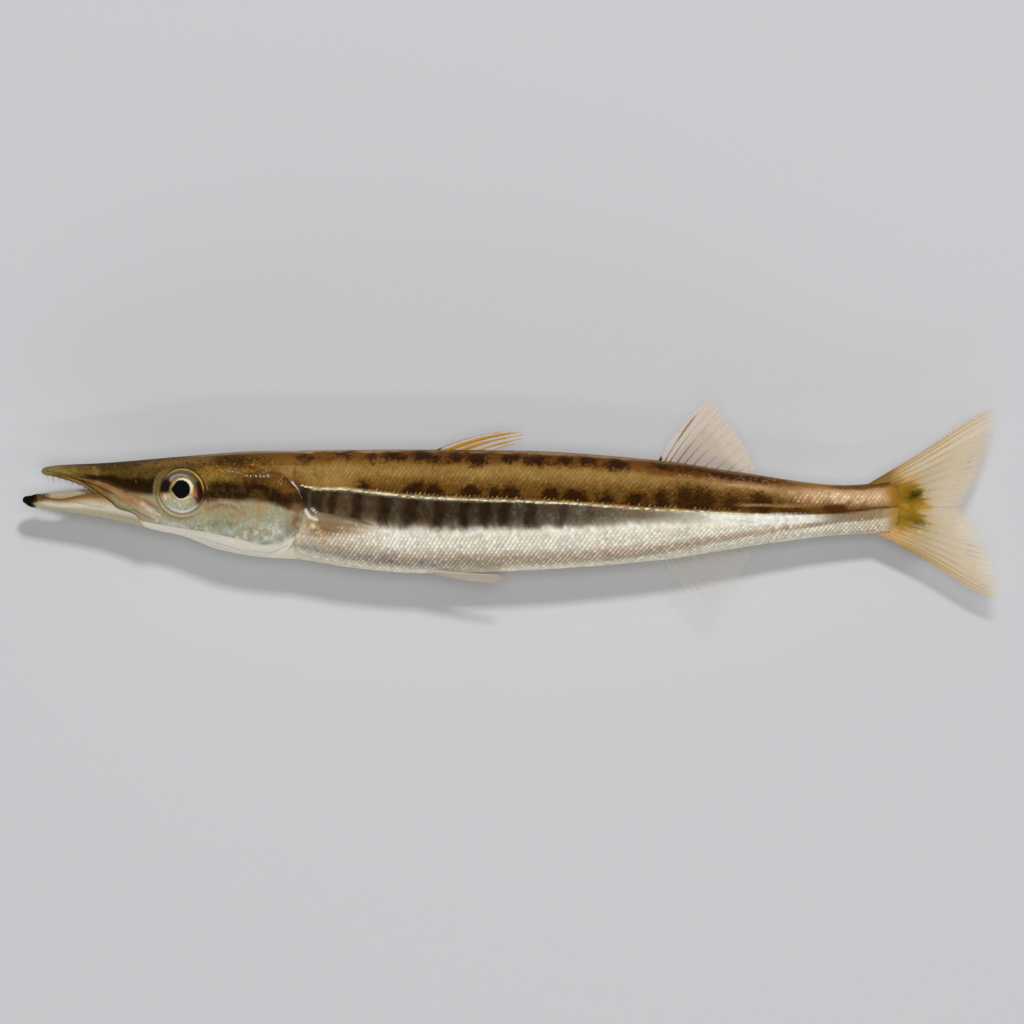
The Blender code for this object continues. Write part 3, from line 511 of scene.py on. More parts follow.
    # below it: a dark barred stripe, then silver, the pinkish scale net, a grey band and the pale belly
    low_edge = stripe_edge(along)
    edge = down + wander * 0.6 + 0.02 * mottle(along * 3 + height, around * 0.7, 1.0, 12)
    front = 1 - smooth(along, 35.5, 46)
    net_at = net_middle(along)
    below = layers(C["silver"], [
        (C["white_glint"], 0.5 * smooth(mottle(along, around * 2.5, 2.4, 14), 0.1, 0.8)),
        (C["front_silver"], front * (1 - 0.55 * bump(down, 0.68, 0.14))),
        (C["net"], smooth(down, net_at - 0.2, net_at - 0.06) * (1 - 0.5 * front)),
        (C["belly_grey"], 0.95 * bump(down, net_at, 0.07)),
        (C["belly_grey"], 0.4 * tail * smooth(down, net_at - 0.2, net_at)),
        (C["belly_grey"] * 0.8, 0.85 * tail * smooth(along, 94, 97) * smooth(down, 0.3, 0.42)
         * (1 - 0.7 * smooth(down, 0.72, 0.84)))])
    blue = bump(down + wander, 0.87, 0.08) * falls(along, 47, 60) * (0.8 + 0.5 * middling)
    below = layers(below, [
        (C["belly_blue"] * 0.95, 0.62 * blue),
        (C["cream"], smooth(down, net_at + 0.02, net_at + 0.1) * (1 - 0.3 * front))])
    # a pale sheen painted between the stripe and the breast fin, and brown shade painted under and along
    # the fin
    sheen = drawn([(34.8, -1.25), (38.0, -1.6), (42.0, -2.1), (47.0, -2.6)], 0.36, 0.3)
    below = layers(below, [
        (C["fold_tan"] * 0.8, 0.8 * spot(along, height, (37.2, -2.9), 2.4, 1.0, 0.6)),
        (C["lip_brown"], 0.6 * drawn([(36.4, -2.2), (39.0, -2.35), (43.8, -3.0)], 0.25, 0.3)),
        (C["bright"] * 0.6, 0.8 * sheen)])
    fall = smooth(along, 64, 88)
    below = layer(below, C["grey_brown"], falls(edge, low_edge - 0.03, low_edge + 0.11)
                  * (1 - 0.8 * fall))
    striped = 1 - smooth(edge, low_edge - 0.14, low_edge + 0.06)
    stripe_colour = layer(C["stripe"], C["stripe_front"], 1 - smooth(along, 36, 50))
    stripe_colour = layer(stripe_colour, C["grey_brown"], 0.25 * smooth(along, 58, 63)
                          + 0.6 * smooth(along, 64, 74))
    hatch = mottle(along * 2.0 + height, around * 0.55, 0.45, 16)
    # patches of bluish-silver sheen painted over the stripe
    stripe_colour = layer(stripe_colour, C["belly_blue"], (0.14 + 0.18 * smooth(along, 54, 62))
                          * smooth(hatch + 0.4 * fine, 0.2, 0.9))
    below = layer(below, stripe_colour, striped * falls(along, 74, 88) * 0.98)
    bars = np.zeros(along.shape)
    leaning = along + 0.3 * mottle(along, around, 0.9, 13) - 0.12 * (height - line)
    for middle, half in FLANK_BARS:
        bars = np.maximum(bars, smooth(bump(leaning, middle + 0.15, half * 0.95), 0.1, 0.85))
    bars *= falls(edge, low_edge - 0.06, low_edge + 0.08) * (1 - 0.75 * smooth(along, 62, 74))
    below = layer(below, C["bar"], 0.9 * bars * falls(along, 78, 86) * (0.85 + 0.3 * hatch))
    fringe = (smooth(mottle(along * 4, around * 0.8, 1.0, 15), 0.1, 0.6)
              * bump(down, low_edge + 0.04, 0.05))
    below = layers(below, [
        (C["stripe"], 0.22 * fringe * falls(along, 62, 74) * smooth(along, 40, 44)),
        (C["grey_brown"], 0.85 * tail * falls(along, 104, 107) * smooth(along, 96, 100)
         * falls(down, 0.2, 0.6))])
    white = between(along, 82, 86, 94, 98) * bump(down, 0.1, 0.1)
    below = layers(below, [
        (C["white_glint"], 0.85 * white),
        (rgb(158, 124, 84), 0.75 * smooth(along, 99.5, 101.5) * falls(down, 0.0, 0.42)),
        (C["net"] * 0.8, 0.35 * smooth(along, 97, 99) * smooth(down, 0.4, 0.6)),
        (C["olive_tan"], 0.3 * end),
        (rgb(180, 148, 102), 0.85 * smooth(along + 0.3 * middling, 105.2, 106.6)),
        (rgb(168, 126, 36), 0.9 * root * (1 - 0.6 * smooth(down, 0.6, 0.9)))])

    is_up = smooth(height, line - 0.05, line + 0.05)
    paint = below * (1 - is_up)[..., None] + above * is_up[..., None]
    # the lateral line: a cream band with a golden upper edge and a dark line above
    shown = smooth(along, 34, 35.5)
    wide = 0.11 + 0.06 * falls(along, 50, 60) * smooth(along, 34, 37)
    over = height - line + 0.05 * fine
    paint = layer(paint, C["blotch"], 0.75 * bump(over, 0.42, 0.17) * between(along, 39, 43, 80, 92))
    broken = np.clip(0.65 + 0.9 * mottle(along * 2, around, 0.7, 17), 0.1, 1)
    paint = layers(paint, [
        (rgb(84, 40, 18), (0.55 + 0.3 * fine)
         * spot(along + 0.7 * middling, height, (99.9, -0.5), 2.0, 0.5, 0.9)),
        (C["gold"], 0.75 * broken * bump(over, 0.2, 0.09) * shown * falls(along, 76, 92)),
        (rgb(226, 214, 174), 0.85 * (0.45 + 0.55 * broken) * bump(over, 0, wide) * shown
         * falls(along, 84, 96)),
        (rgb(214, 162, 106), 0.6 * drawn([(86.5, -0.05), (91.0, -0.1), (98.0, -0.2)], 0.14, 0.3)),
        # glints on the girdle behind the gill opening
        (C["white_glint"], drawn([(34.5, -0.4), (35.3, -1.6), (36.5, -1.95)], 0.13)),
        (C["white_glint"], 0.8 * drawn([(35.3, -0.3), (36.3, -1.2), (36.6, -1.9)], 0.08))])
    # yellow-white painted highlights on the girdle ridge below the breast fin's root
    girdle = drawn([(35.1, -2.2), (36.2, -3.1), (36.9, -4.2), (37.3, -4.9)], 0.3)
    paint = layers(paint, [
        (C["gold"], 0.7 * girdle),
        (rgb(246, 232, 186), girdle * smooth(mottle(along, around, 0.22, 35) + 0.3 * fine, -0.3, 0.3))])

    silver = ((1 - is_up) * smooth(edge, low_edge - 0.02, low_edge + 0.12)
              * (1 - 0.5 * smooth(down, 0.9, 1)))
    silver = np.maximum(silver, 0.6 * smooth(along, 76, 88) * (1 - is_up))
    silver = np.maximum(silver, is_up * tail * 0.6 * band)
    pepper = is_up * (0.25 + 0.75 * dark)
    pepper = (pepper + (1 - is_up) * 0.8 * falls(edge, low_edge - 0.08, low_edge + 0.04)
              * falls(along, 70, 82))
    net = 0.5 * is_up * bump(up, 0.42, 0.26) * (1 + 0.3 * tail) * (1 - 0.8 * dark)
    net = (net + (1 - is_up)
           * (0.8 * smooth(down, low_edge + 0.04, low_edge + 0.2) + 0.2 * bump(down, 0.78, 0.14)))
    net = net * (1 - 0.7 * smooth(down, 0.92, 1.0)) * (0.4 + 0.6 * smooth(along, 35, 41))
    row = drawn([(79.0, 3.7), (86.0, 3.2), (94.5, 2.35)], 0.5, 0.2)
    glitter = is_up * np.maximum(0.9 * row, tail * bump(height, 0.85, 0.7) * (1 - last))
    glitter = np.maximum(glitter, 0.08 * is_up * bump(up, 0.5, 0.3) * smooth(along, 66, 76))
    glitter = np.maximum(glitter, 0.7 * (1 - is_up) * bump(down, low_edge + 0.22, 0.16)
                         * smooth(along, 36, 40))
    glitter = np.maximum(glitter, 0.7 * (1 - is_up) * white)
    return paint, silver, pepper * (1 - 0.7 * tail), net, glitter


STRIPE_MIDDLE = curve_through([(4.8, 3.75), (6.0, 3.5), (8.2, 3.35), (10.7, 2.85), (12.7, 2.4),
                               (14.8, 2.3), (19.6, 2.0), (22.9, 1.7), (25.0, 1.6), (27.6, 1.6),
                               (29.0, 1.4), (31.1, 0.9), (33.1, 0.3), (36.0, 0.3)])
STRIPE_HALF = curve_through([(4.8, 0.08), (6.0, 0.16), (8.2, 0.45), (10.7, 0.75), (12.7, 1.0),
                             (14.8, 1.15), (19.6, 1.15), (22.9, 1.3), (25.0, 1.3), (27.2, 1.1),
                             (29.0, 1.0), (31.1, 1.0), (33.1, 1.05), (36.0, 1.1)])
THROAT_TOP = curve_through([(13.0, -1.7), (16.0, -2.3), (20.2, -3.0), (22.9, -3.4), (25.9, -4.05),
                            (29.5, -4.95), (31.5, -4.95), (32.7, -4.3), (34.5, -3.3)])
GILL_GLINT = [(32.8, 3.0), (33.8, 2.05), (34.25, 1.3), (34.5, 0.6)]
SPARKLE_LINE = [(24.6, 4.4), (25.6, 4.03), (27.0, 3.72), (28.2, 3.38), (29.6, 3.5), (31.4, 3.6)]


def head_paint(along, height):
    """Colour, silver sheen and dark pepper of the head."""
    def drawn(line, half, fade=0.15):
        return streak(along, height, line, half, fade)

    around = way_round(along, height)
    coarse = mottle(along, around, 1.3, 21)
    middling = mottle(along, around, 0.5, 22)
    fine = mottle(along, around, 0.22, 27)
    wander = 0.2 * coarse + 0.14 * middling + 0.06 * fine
    top, low = back(along), belly(along)
    from_top = top - height
    eye_away = np.hypot(along - EYE_ALONG, height - EYE_HEIGHT)
    eye_turn = np.degrees(np.arctan2(height - EYE_HEIGHT, along - EYE_ALONG)) % 360

    # silvery cheek and gill cover: soft patches of green, pink, blue and white over a dull silver
    pale = np.broadcast_to(C["cheek"], along.shape + (3,)).copy()
    speckle = 0.35 * middling + 0.22 * fine
    pale = layers(pale, [
        (C["cheek_green"], 0.8 * smooth(mottle(along, around, 0.95, 23) + speckle, -0.1, 0.6)),
        (C["cheek_pink"], 0.5 * smooth(mottle(along, around, 0.8, 24) + speckle, 0.1, 0.8)),
        (C["cheek_blue"], 0.6 * smooth(mottle(along, around, 0.7, 25) - speckle, 0.1, 0.7)
         * smooth(-height, 1.0, 3.0)),
        (C["bright"], 0.55 * smooth(-height, 1.9, 3.4)
         * smooth(mottle(along, around, 0.6, 37) + speckle, -0.2, 0.7)),
        (C["bright"], 0.3 * flecks(along, around, 0.14, 28, 0.4) * smooth(-height, 0.5, 2.5)),
        (C["olive"], 0.35 * flecks(along, around, 0.16, 29, 0.45) * smooth(-height, 1.2, 2.2)),
        (C["gold"] * 0.8, 0.4 * falls(-height, -0.9, 0.6) * smooth(along, 22, 24)),
        (C["lip_brown"], 0.9 * falls(along, 10.2, 12.0))])
    turn = np.arctan2(height + 0.4, along - 27.0)
    rays = 0.5 + 0.5 * np.sin(turn * 80 + 2.5 * mottle(along, around, 1.1, 26) + along)
    cover = smooth(along, 29.6, 31.0) * falls(height, -2.2, -1.0) * (0.7 + 0.5 * middling)
    pale = layers(pale, [
        (C["cheek_blue"] * 0.85, 0.4 * cover * rays),
        (C["bright"], 0.25 * cover * (1 - rays))])
    tan_patch = spot(along, height, (25.6, -0.7), 2.2, 1.3, 0.6)
    pale = layers(pale, [
        (C["fold_tan"], (0.34 + 0.3 * middling + 0.2 * fine) * tan_patch),
        (C["cheek_green"], 0.5 * flecks(along, around, 0.2, 42, 0.1) * smooth(along, 21, 23)),
        (rgb(214, 196, 158), 0.4 * flecks(along, around, 0.15, 43, 0.42) * smooth(along, 19, 22)),
        (C["fold_tan"], 0.65 * between(along, 21.3, 22.3, 23.5, 26.5) * smooth(height, -1.4, 0.3)),
        (C["gold"], 0.6 * spot(along, height, (29.1, -0.7), 0.4, 1.2, 0.7) * (0.7 + 0.5 * fine)),
        (C["olive"], 0.35 * spot(along, height, (24.6, -2.4), 1.6, 0.45, 0.7))])

    # dark above: olive snout, brown crown, gold behind the eye
    above = np.broadcast_to(C["olive"], along.shape + (3,)).copy()
    behind = smooth(along + coarse, 20.5, 24.0)
    above = layers(above, [
        (C["orange_brown"], behind * (0.8 + wander)),
        (C["gold"] * 0.85, 0.5 * behind * smooth(middling + 0.6 * fine, 0.15, 0.9)
         * bump(from_top, 2.6, 1.1)),
        (C["crown"], 0.6 * behind * smooth(-middling - 0.6 * fine, 0.0, 0.8)
         * smooth(from_top, 1.4, 2.6) * (1 - 0.6 * smooth(along, 28, 31))),
        (C["crown"], (0.9 - 0.35 * smooth(along, 26, 31)) * bump(from_top, 1.0, 0.5)
         * between(along, 20.5, 23, 33, 36) * (0.8 + wander)),
        (C["crown"], 0.8 * spot(along, height, (25.6, 5.35), 2.2, 0.75, 0.6)),
        (C["umber"] * 0.95, 0.5 * smooth(along, 28.5, 31.5) * smooth(from_top, 0.2, 0.7)),
        (C["crown"], 0.5 * smooth(along, 29, 31) * smooth(from_top, 0.9, 1.6)
         * smooth(middling + 0.7 * fine + 0.4 * coarse, -0.1, 0.8)),
        (C["crown"], (0.6 + wander) * between(along, 5.2, 7.5, 14, 18) * falls(from_top, 0.5, 1.3)),
        (rgb(132, 100, 52), 0.75 * between(along, 12.5, 16, 22, 24.5) * bump(from_top, 0.65, 0.5)),
        (C["snout"], falls(along + 2.5 * wander, 3.6, 8.6) * (0.9 + wander)),
        (rgb(116, 88, 42), 0.85 * between(along, 4.4, 5.6, 8.6, 10.2) * falls(from_top, 1.3, 1.9)),
        (C["snout"], 0.5 * smooth(middling, 0.2, 0.7) * falls(along, 8, 13)),
        (rgb(66, 42, 12), 0.8 * smooth(along + 2 * wander, 5.6, 8.2)
         * (1 - 0.5 * smooth(along, 13.5, 15)) * falls(along, 22, 25) * falls(from_top, 0.14, 0.5)
         * (0.85 + wander)),
        (C["edge_tan"], 0.6 * smooth(along, 19, 24) * bump(from_top, 0.17, 0.1)),
        (C["eye_stripe"], 0.5 * flecks(along, around, 0.24, 31, 0.45) * smooth(along, 6, 9)),
        (C["gold"], 0.5 * flecks(along, around, 0.15, 32, 0.5) * smooth(along, 8, 10)
         * smooth(coarse + middling, -0.1, 0.7)),
        (rgb(150, 118, 52), 0.75 * spot(along + 0.5 * middling, height, (23.6, 3.3), 2.4, 1.1, 0.8)),
        # pale gold and orange flecks behind the eye, painted as glints
        (rgb(186, 150, 84), 0.55 * flecks(along * 0.8, around, 0.26, 39, 0.3) * behind
         * bump(from_top, 2.9, 1.0) * smooth(coarse, -0.3, 0.5)),
        (rgb(206, 128, 62), 0.6 * flecks(along, around, 0.17, 41, 0.42) * behind
         * bump(from_top, 1.9, 0.8))])

    middle, half = STRIPE_MIDDLE(along), STRIPE_HALF(along)
    split = middle - half * 0.85 + wander * 0.9
    paint = layer(pale, above, smooth(height, split - 0.45, split + 0.3))
    strength = (smooth(along + wander, 6.2, 8.8)
                * (1 - 0.4 * bump(along + wander, 29.0, 0.6) * smooth(1.6 - height, -0.3, 0.5)))
    strength = strength * (1 - 0.6 * bump(along + wander, 22.2, 0.9) * smooth(height, 1.2, 2.2))
    brush = 0.07 * mottle(along * 3.2, around * 0.5, 0.5, 38) * smooth(along, 20, 22)
    stripe = 1 - smooth(np.abs(height - middle + wander * (0.9 + 0.5 * behind)) / half + brush, 0.5, 1.22)
    stripe_tone = layer(C["eye_stripe"], rgb(66, 44, 20), smooth(along, 20, 22.5)
                        * smooth(middling + fine, -0.2, 0.9))
    paint = layer(paint, stripe_tone, stripe * strength * 0.96)
    blob = spot(along, height + 0.3 * middling, (28.6, 3.0), 1.6, 0.5, 0.7)
    paint = layer(paint, C["crown"], 0.6 * blob)

    # folds between the mouth and the eye
    fold = between(along, 10.6, 12.2, 15.0, 16.8) * bump(height - 0.25 * (13.5 - along), 0.5, 0.75)
    paint = layers(paint, [
        (C["fold_tan"], 0.9 * fold),
        (C["lip_brown"], 0.6 * drawn([(13.2, 1.4), (15.0, 0.5), (17.2, -0.9)], 0.22)),
        (C["bright"], (0.5 + 0.4 * middling)
         * drawn([(14.1, 0.5), (15.1, -0.35), (16.6, -1.25)], 0.34, 0.35)),
        (C["cheek_pink"], 0.7 * drawn([(13.6, 0.6), (14.6, -0.1), (15.4, -0.8)], 0.12)),
        (C["bright"], 0.4 * drawn([(15.4, -1.35), (17.6, -2.2), (20.4, -2.75)], 0.24)),
        (C["eye_stripe"], 0.45 * drawn([(13.4, -0.5), (15.2, -1.5), (17.5, -2.15)], 0.1))])

    # lips, jaw bone and snout creases
    lip = height - low
    mouth = 1 - smooth(along, 13.6, 14.2)
    paint = layers(paint, [
        (C["lip_brown"] * 0.85, mouth * falls(lip, 0.65, 1.05) * smooth(along, 3.0, 4.5)),
        (rgb(150, 116, 66), mouth * 0.7 * bump(lip, 0.42, 0.12) * smooth(along, 4.5, 6.5)),
        (C["eye_stripe"], mouth * 0.8 * bump(lip, 0.66, 0.1) * smooth(along, 4.5, 7)),
        (C["eye_stripe"], mouth * 0.55 * bump(lip, 0.2, 0.07) * smooth(along, 3, 5))])
    away, _, over = line_distance(along, height, JAW_BONE)
    bone = np.where(over < 0, smooth(away, 0.0, 0.15), 0.0) * smooth(along, 10.9, 11.8) * mouth
    paint = layers(paint, [
        (C["jaw_silver"], 0.8 * bone),
        (C["cheek_green"] * 0.85, 0.6 * bone * smooth(middling, -0.2, 0.6)),
        (C["fold_tan"] * 0.8, 0.7 * drawn([(6.6, 3.4), (8.4, 2.95), (10.0, 2.4)], 0.16)),
        (C["fold_tan"], 0.9 * drawn([(8.6, 2.9), (10.4, 2.35), (12.6, 1.4)], 0.3)),
        (C["eye_stripe"], 0.85 * drawn([(6.3, 3.5), (9.4, 3.0), (12.4, 1.85)], 0.09)),
        (C["eye_stripe"], 0.85 * drawn([(6.6, 3.2), (9.4, 2.2), (12.2, 0.75)], 0.09)),
        (C["snout"], 0.7 * drawn([(3.0, 4.3), (4.3, 4.15), (6.4, 3.75)], 0.16))])

    # throat, rims and the gill opening
    throat_top = THROAT_TOP(along)
    throat = 1 - smooth(height, throat_top - 0.12, throat_top + 0.12)
    paint = layers(paint, [
        (C["throat"], throat),
        (C["grey_brown"], 0.22 * drawn(THROAT_FOLD, 0.1) + 0.16 * drawn(THROAT_FOLD_LOW, 0.09)),
        (C["cheek_blue"] * 0.9, 0.6 * drawn([(28.6, -4.6), (30.6, -4.6), (32.2, -3.7)], 0.14)),
        (C["bright"], 0.8 * drawn(COVER_RIM, 0.13)),
        # the pale throat colour along the cheek ridge is a painted highlight
        (C["throat"], (0.3 + 0.3 * middling) * drawn(CHEEK_RIDGE, 0.24, 0.35)),
        (C["olive"], 0.4 * streak(along, height + 0.35, CHEEK_RIDGE, 0.2)),
        (C["cheek_blue"] * 1.15, 0.4 * drawn([(28.6, -1.3), (27.9, -2.6), (27.3, -3.6)], 0.2, 0.3))])
    band = bump(along - gill_edge(height), -0.85, 1.0) * between(height, -4.6, -2.8, -0.4, 0.5)
    paint = layers(paint, [
        (C["gill_red"], (0.85 + 0.35 * middling + 0.2 * fine) * band),
        (C["bright"], (0.1 + 1.1 * mottle(along, around, 0.17, 36))
         * streak(along, height + 0.15 * middling, SPARKLE_LINE, 0.1)),
        (C["copper"], 0.6 * flecks(along, around, 0.11, 33, 0.5) * bump(height, 3.2, 1.0)
         * between(along, 23, 25, 31.5, 33) * smooth(coarse, -0.2, 0.6)),
        (C["white_glint"], drawn(GILL_GLINT, 0.1))])

    # skin round the eye: dull and tan before and under it, with two pale folds
    front_part = between(eye_turn, 105, 140, 285, 325)
    paint = layer(paint, C["eye_ring"], 0.8 * falls(eye_away, 3.2, 3.6) * front_part)
    under = between(eye_turn, 195, 225, 300, 335)
    paint = layers(paint, [
        (C["cheek"], 0.55 * falls(eye_away, 3.1, 3.5) * under),
        (rgb(168, 148, 106), 0.55 * bump(eye_away, 3.5, 0.13) * between(eye_turn, 125, 160, 255, 310)),
        (rgb(206, 196, 162), 0.65 * bump(eye_away, 3.03, 0.11) * between(eye_turn, 175, 215, 285, 335)),
        (rgb(150, 120, 74), 0.5 * bump(eye_away, 3.08, 0.1) * falls(eye_turn, 30, 60)),
        (C["olive"] * 0.6, 0.8 * bump(eye_away, 3.1, 0.22) * bump(eye_turn, 92, 26) * (0.6 + middling)),
        (C["eye_stripe"], (0.25 + 0.4 * np.sin(np.radians(eye_turn - 20)) ** 2 * (eye_turn < 200))
         * bump(eye_away, EYE_RADIUS + 0.02, 0.08)),

        # nostrils, and a gold painted glint just behind the rear one
        (C["eye_stripe"], bump(np.hypot(along - REAR_NOSTRIL[0], (height - REAR_NOSTRIL[1]) * 0.8), 0,
                               0.16)),
        (C["gold"], 0.8 * bump(np.hypot(along - 13.93, height - 2.8), 0, 0.09)),
        (C["eye_stripe"], bump(np.hypot(along - FRONT_NOSTRIL[0], height - FRONT_NOSTRIL[1]), 0, 0.1))])
    below_stripe = 1 - smooth(height, split - 0.5, split)
    silver = 0.6 * below_stripe * smooth(along, 14, 17)
    pepper = 0.55 + 0.25 * (1 - below_stripe) - 0.45 * below_stripe
    return paint, silver, pepper * (1 - throat)


def skin_paint(along, height):
    """The head's colours pass into the trunk's behind the gill opening."""
    past = along - gill_edge(height)
    share = np.where(height < 4.0, smooth(past, -0.05, 0.1),
                     smooth(past + 0.6 * mottle(along, height, 0.8, 34), -2.0, 2.0))
    head, head_silver, head_pepper = head_paint(along, height)
    body, body_silver, body_pepper, _, _ = body_paint(np.maximum(along, TRUNK_START), height)
    low_shoulder = between(height, -4.8, -3.8, 0, 1)
    body = layers(body, [
        (C["fold_tan"], 0.5 * bump(past, 0.5, 0.7) * low_shoulder),
        (C["white_glint"], streak(along, height, GILL_GLINT, 0.12))])
    mix = share[..., None]
    return (head * (1 - mix) + body * mix, head_silver * (1 - share) + body_silver * share,
            head_pepper * (1 - share) + body_pepper * share)


HEAD_ROWS, BODY_ROWS, AROUND = 290, 110, 200
along_rows = np.concatenate([[2.3, 2.32, 2.36], np.linspace(2.42, 36.0, HEAD_ROWS - 3),
                             np.linspace(36.6, BODY_END, BODY_ROWS)])
angles = 2 * np.pi * np.arange(AROUND) / AROUND
A, T = np.meshgrid(along_rows, angles, indexing="ij")
inset = COAT * smooth(A, 30, 37) + 0.02
A, H, S = body_place(A, T, inset)
flat = at(A, H, S)
normal = normals_of(flat)
facing = np.clip(np.abs(normal[..., 2]) * 1.5, 0, 1)
raised = relief(A, H, facing)
# the roof of the mouth is hollow between the lips
hollow = between(A, 3.0, 4.0, 13.2, 14.0) * np.where(np.sin(T) < 0, 1, 0)
roof = (0.3 + 0.09 * (A - 3.3)) * falls(np.abs(S) / flank(A), 0.5, 0.82) * hollow
H = H + roof
skin_corners = at(A, H, S) + normal * raised[..., None]
skin_corners[..., 2] = np.maximum(skin_corners[..., 2], 0.02)
paint, silver, pepper = skin_paint(A, H)
mouth_lining = rgb(196, 176, 150)
paint = layer(paint, mouth_lining, smooth(roof, 0.05, 0.25))
rows = len(along_rows)
faces = closed_grid_faces(rows, AROUND)[:, ::-1]
corners = skin_corners.reshape(-1, 3)
count = len(corners)
ends = np.stack([skin_corners[0].mean(0), skin_corners[-1].mean(0)])
fans = ([(count, k, (k + 1) % AROUND) for k in range(AROUND)]
        + [(count + 1, count - AROUND + (k + 1) % AROUND, count - AROUND + k) for k in range(AROUND)])
body_parts = dict(corners=np.concatenate([corners, ends]), quads=faces, fans=np.array(fans),
                  paint=np.concatenate([paint.reshape(-1, 3), paint[0, :1], paint[-1, :1]]),
                  silver=np.concatenate([silver.ravel(), [0, 0]]),
                  pepper=np.concatenate([pepper.ravel(), [0.5, 0.5]]))

# The lower jaw's skin: its outer side, the lips, the floor of the mouth and the tongue
jaw_under = curve_through([(0.0, 0.35), (0.3, 0.1), (0.9, -0.28), (2.1, -0.5), (5.8, -0.98),
                           (10.7, -1.78), (14.2, -2.62), (16.0, -2.95), (17.6, -2.9)])
jaw_rim = curve_through([(0.0, 0.75), (0.3, 1.0), (1.0, 1.1), (1.9, 1.3), (2.7, 1.0), (4.5, 0.72),
                         (8.2, 1.3), (14.2, 0.6), (17.6, 0.0)])
jaw_half = curve_through([(0.0, 0.3), (0.3, 0.6), (0.9, 0.85), (2.1, 1.0), (5.8, 1.55), (10.7, 2.35),
                          (14.2, 3.12), (16.0, 3.3), (17.6, 3.1)])
tongue_rise = curve_through([(0.0, -0.2), (1.8, -0.1), (2.6, 0.3), (4.5, 0.72), (6.4, 0.7), (8.0, 0.55),
                             (9.5, 0.2), (11.0, -0.3), (17.6, -0.5)])

jaw_rows = np.concatenate([[0.0, 0.06, 0.15], np.linspace(0.3, 17.6, 110)])
OUTER, INNER = 44, 24
u_out = np.linspace(0, np.pi, OUTER)
u_in = np.linspace(-0.86, 0.86, INNER)
JA = np.repeat(jaw_rows[:, None], OUTER + INNER, axis=1)
under, rim, half = jaw_under(JA), jaw_rim(JA), jaw_half(JA)
tongue = rim + tongue_rise(JA)
floor_level = np.maximum(rim - 0.6, under + 0.55 * (rim - under))
jaw_h, jaw_s = np.empty(JA.shape), np.empty(JA.shape)
outer_part = slice(0, OUTER)
jaw_h[:, outer_part] = rim[:, outer_part] - (rim - under)[:, outer_part] * np.sin(u_out) ** 0.85
jaw_s[:, outer_part] = half[:, outer_part] * signed_power(np.cos(u_out), 0.9)
inner_part = slice(OUTER, None)
across = np.abs(u_in)
bed = (floor_level[:, inner_part] + (rim[:, inner_part] - floor_level[:, inner_part])
       * smooth(across, 0.6, 0.86))
ridge = np.maximum(tongue[:, inner_part] - floor_level[:, inner_part], 0) * falls(across, 0.18, 0.5)
jaw_h[:, inner_part] = bed + ridge
jaw_s[:, inner_part] = half[:, inner_part] * u_in
jaw_grid = at(JA, jaw_h, jaw_s)
jaw_grain = mottle(JA, jaw_h, 0.3, 36)
jaw_share = (jaw_h - under) / (rim - under)
jaw_paint = layers(C["jaw_cream"], [
    (C["throat"], 0.4 * bump(jaw_share, 0.42, 0.22) * smooth(JA, 2.0, 3.5)),
    (C["cheek"], 0.5 * bump(jaw_share, 0.22, 0.1)),
    (C["cheek_pink"], 0.3 * smooth(JA, 8.0, 11.0) * smooth(jaw_share, 0.5, 0.9)),
    (C["lip_brown"], 0.45 * streak(JA, jaw_h, [(3.2, 0.45), (6.5, 0.3), (11.0, -0.6)], 0.09))])
brown_rim = smooth(jaw_share, 0.72, 0.86)
jaw_paint = layers(jaw_paint, [
    (C["lip_brown"], brown_rim * smooth(JA, 1.8, 2.6) * (1 - 0.5 * smooth(JA, 9.0, 11.5))),
    (rgb(150, 118, 76), 0.6 * between(jaw_share, 0.5, 0.8, 0.84, 0.9))])
inside = np.zeros(JA.shape)
inside[:, inner_part] = 1 - smooth(across, 0.62, 0.78)
jaw_paint = layer(jaw_paint, rgb(180, 162, 134), inside)
chin_edge = JA + 0.25 * jaw_grain - 1.5 * smooth(jaw_share, 0.3, 0.8)
jaw_paint = layers(jaw_paint, [
    (C["lip_brown"] * 0.5, 0.9 * falls(chin_edge, 1.2, 2.1)),
    (C["chin_black"], 1 - smooth(JA + 0.25 * jaw_grain - 0.5 * smooth(jaw_share, 0.3, 0.8), 1.05, 1.75))])
start = len(body_parts["corners"])
ring = OUTER + INNER
jaw_corners = jaw_grid.reshape(-1, 3)
jaw_ends = np.stack([jaw_grid[0].mean(0), jaw_grid[-1].mean(0)])
last = start + len(jaw_corners) - ring
jaw_fans = ([(start + len(jaw_corners), start + (k + 1) % ring, start + k) for k in range(ring)]
            + [(start + len(jaw_corners) + 1, last + k, last + (k + 1) % ring) for k in range(ring)])
jaw_quads = closed_grid_faces(len(jaw_rows), ring, start)

skin_all = np.concatenate([body_parts["corners"], jaw_corners, jaw_ends])
skin_faces = ([tuple(f) for f in body_parts["quads"]] + [tuple(f) for f in body_parts["fans"]]
              + [tuple(f) for f in jaw_quads] + [tuple(f) for f in jaw_fans])
jaw_count = len(jaw_corners) + len(jaw_ends)
skin_paints = np.concatenate([body_parts["paint"], jaw_paint.reshape(-1, 3), jaw_paint[0, :1],
                              jaw_paint[-1, :1]])
skin_silver = np.concatenate([body_parts["silver"], np.full(jaw_count, 0.15)])
skin_pepper = np.concatenate([body_parts["pepper"], np.full(jaw_count, 0.1)])
skin = mesh_piece("skin", skin_all, skin_faces, paint=skin_paints,
                  values={"silver": skin_silver, "pepper": skin_pepper})


def add_node(material, kind, output, feeds=(), values=(), **settings):
    """Adds a node to a material and gives back one of its outputs.

    feeds lists (input, output that feeds it), values lists (input, fixed value).
    """
    node = material.node_tree.nodes.new("ShaderNode" + kind)
    for key, value in settings.items():
        setattr(node, key, value)
    for key, value in values:
        node.inputs[key].default_value = value
    for key, source in feeds:
        material.node_tree.links.new(source, node.inputs[key])
    return node.outputs[output]


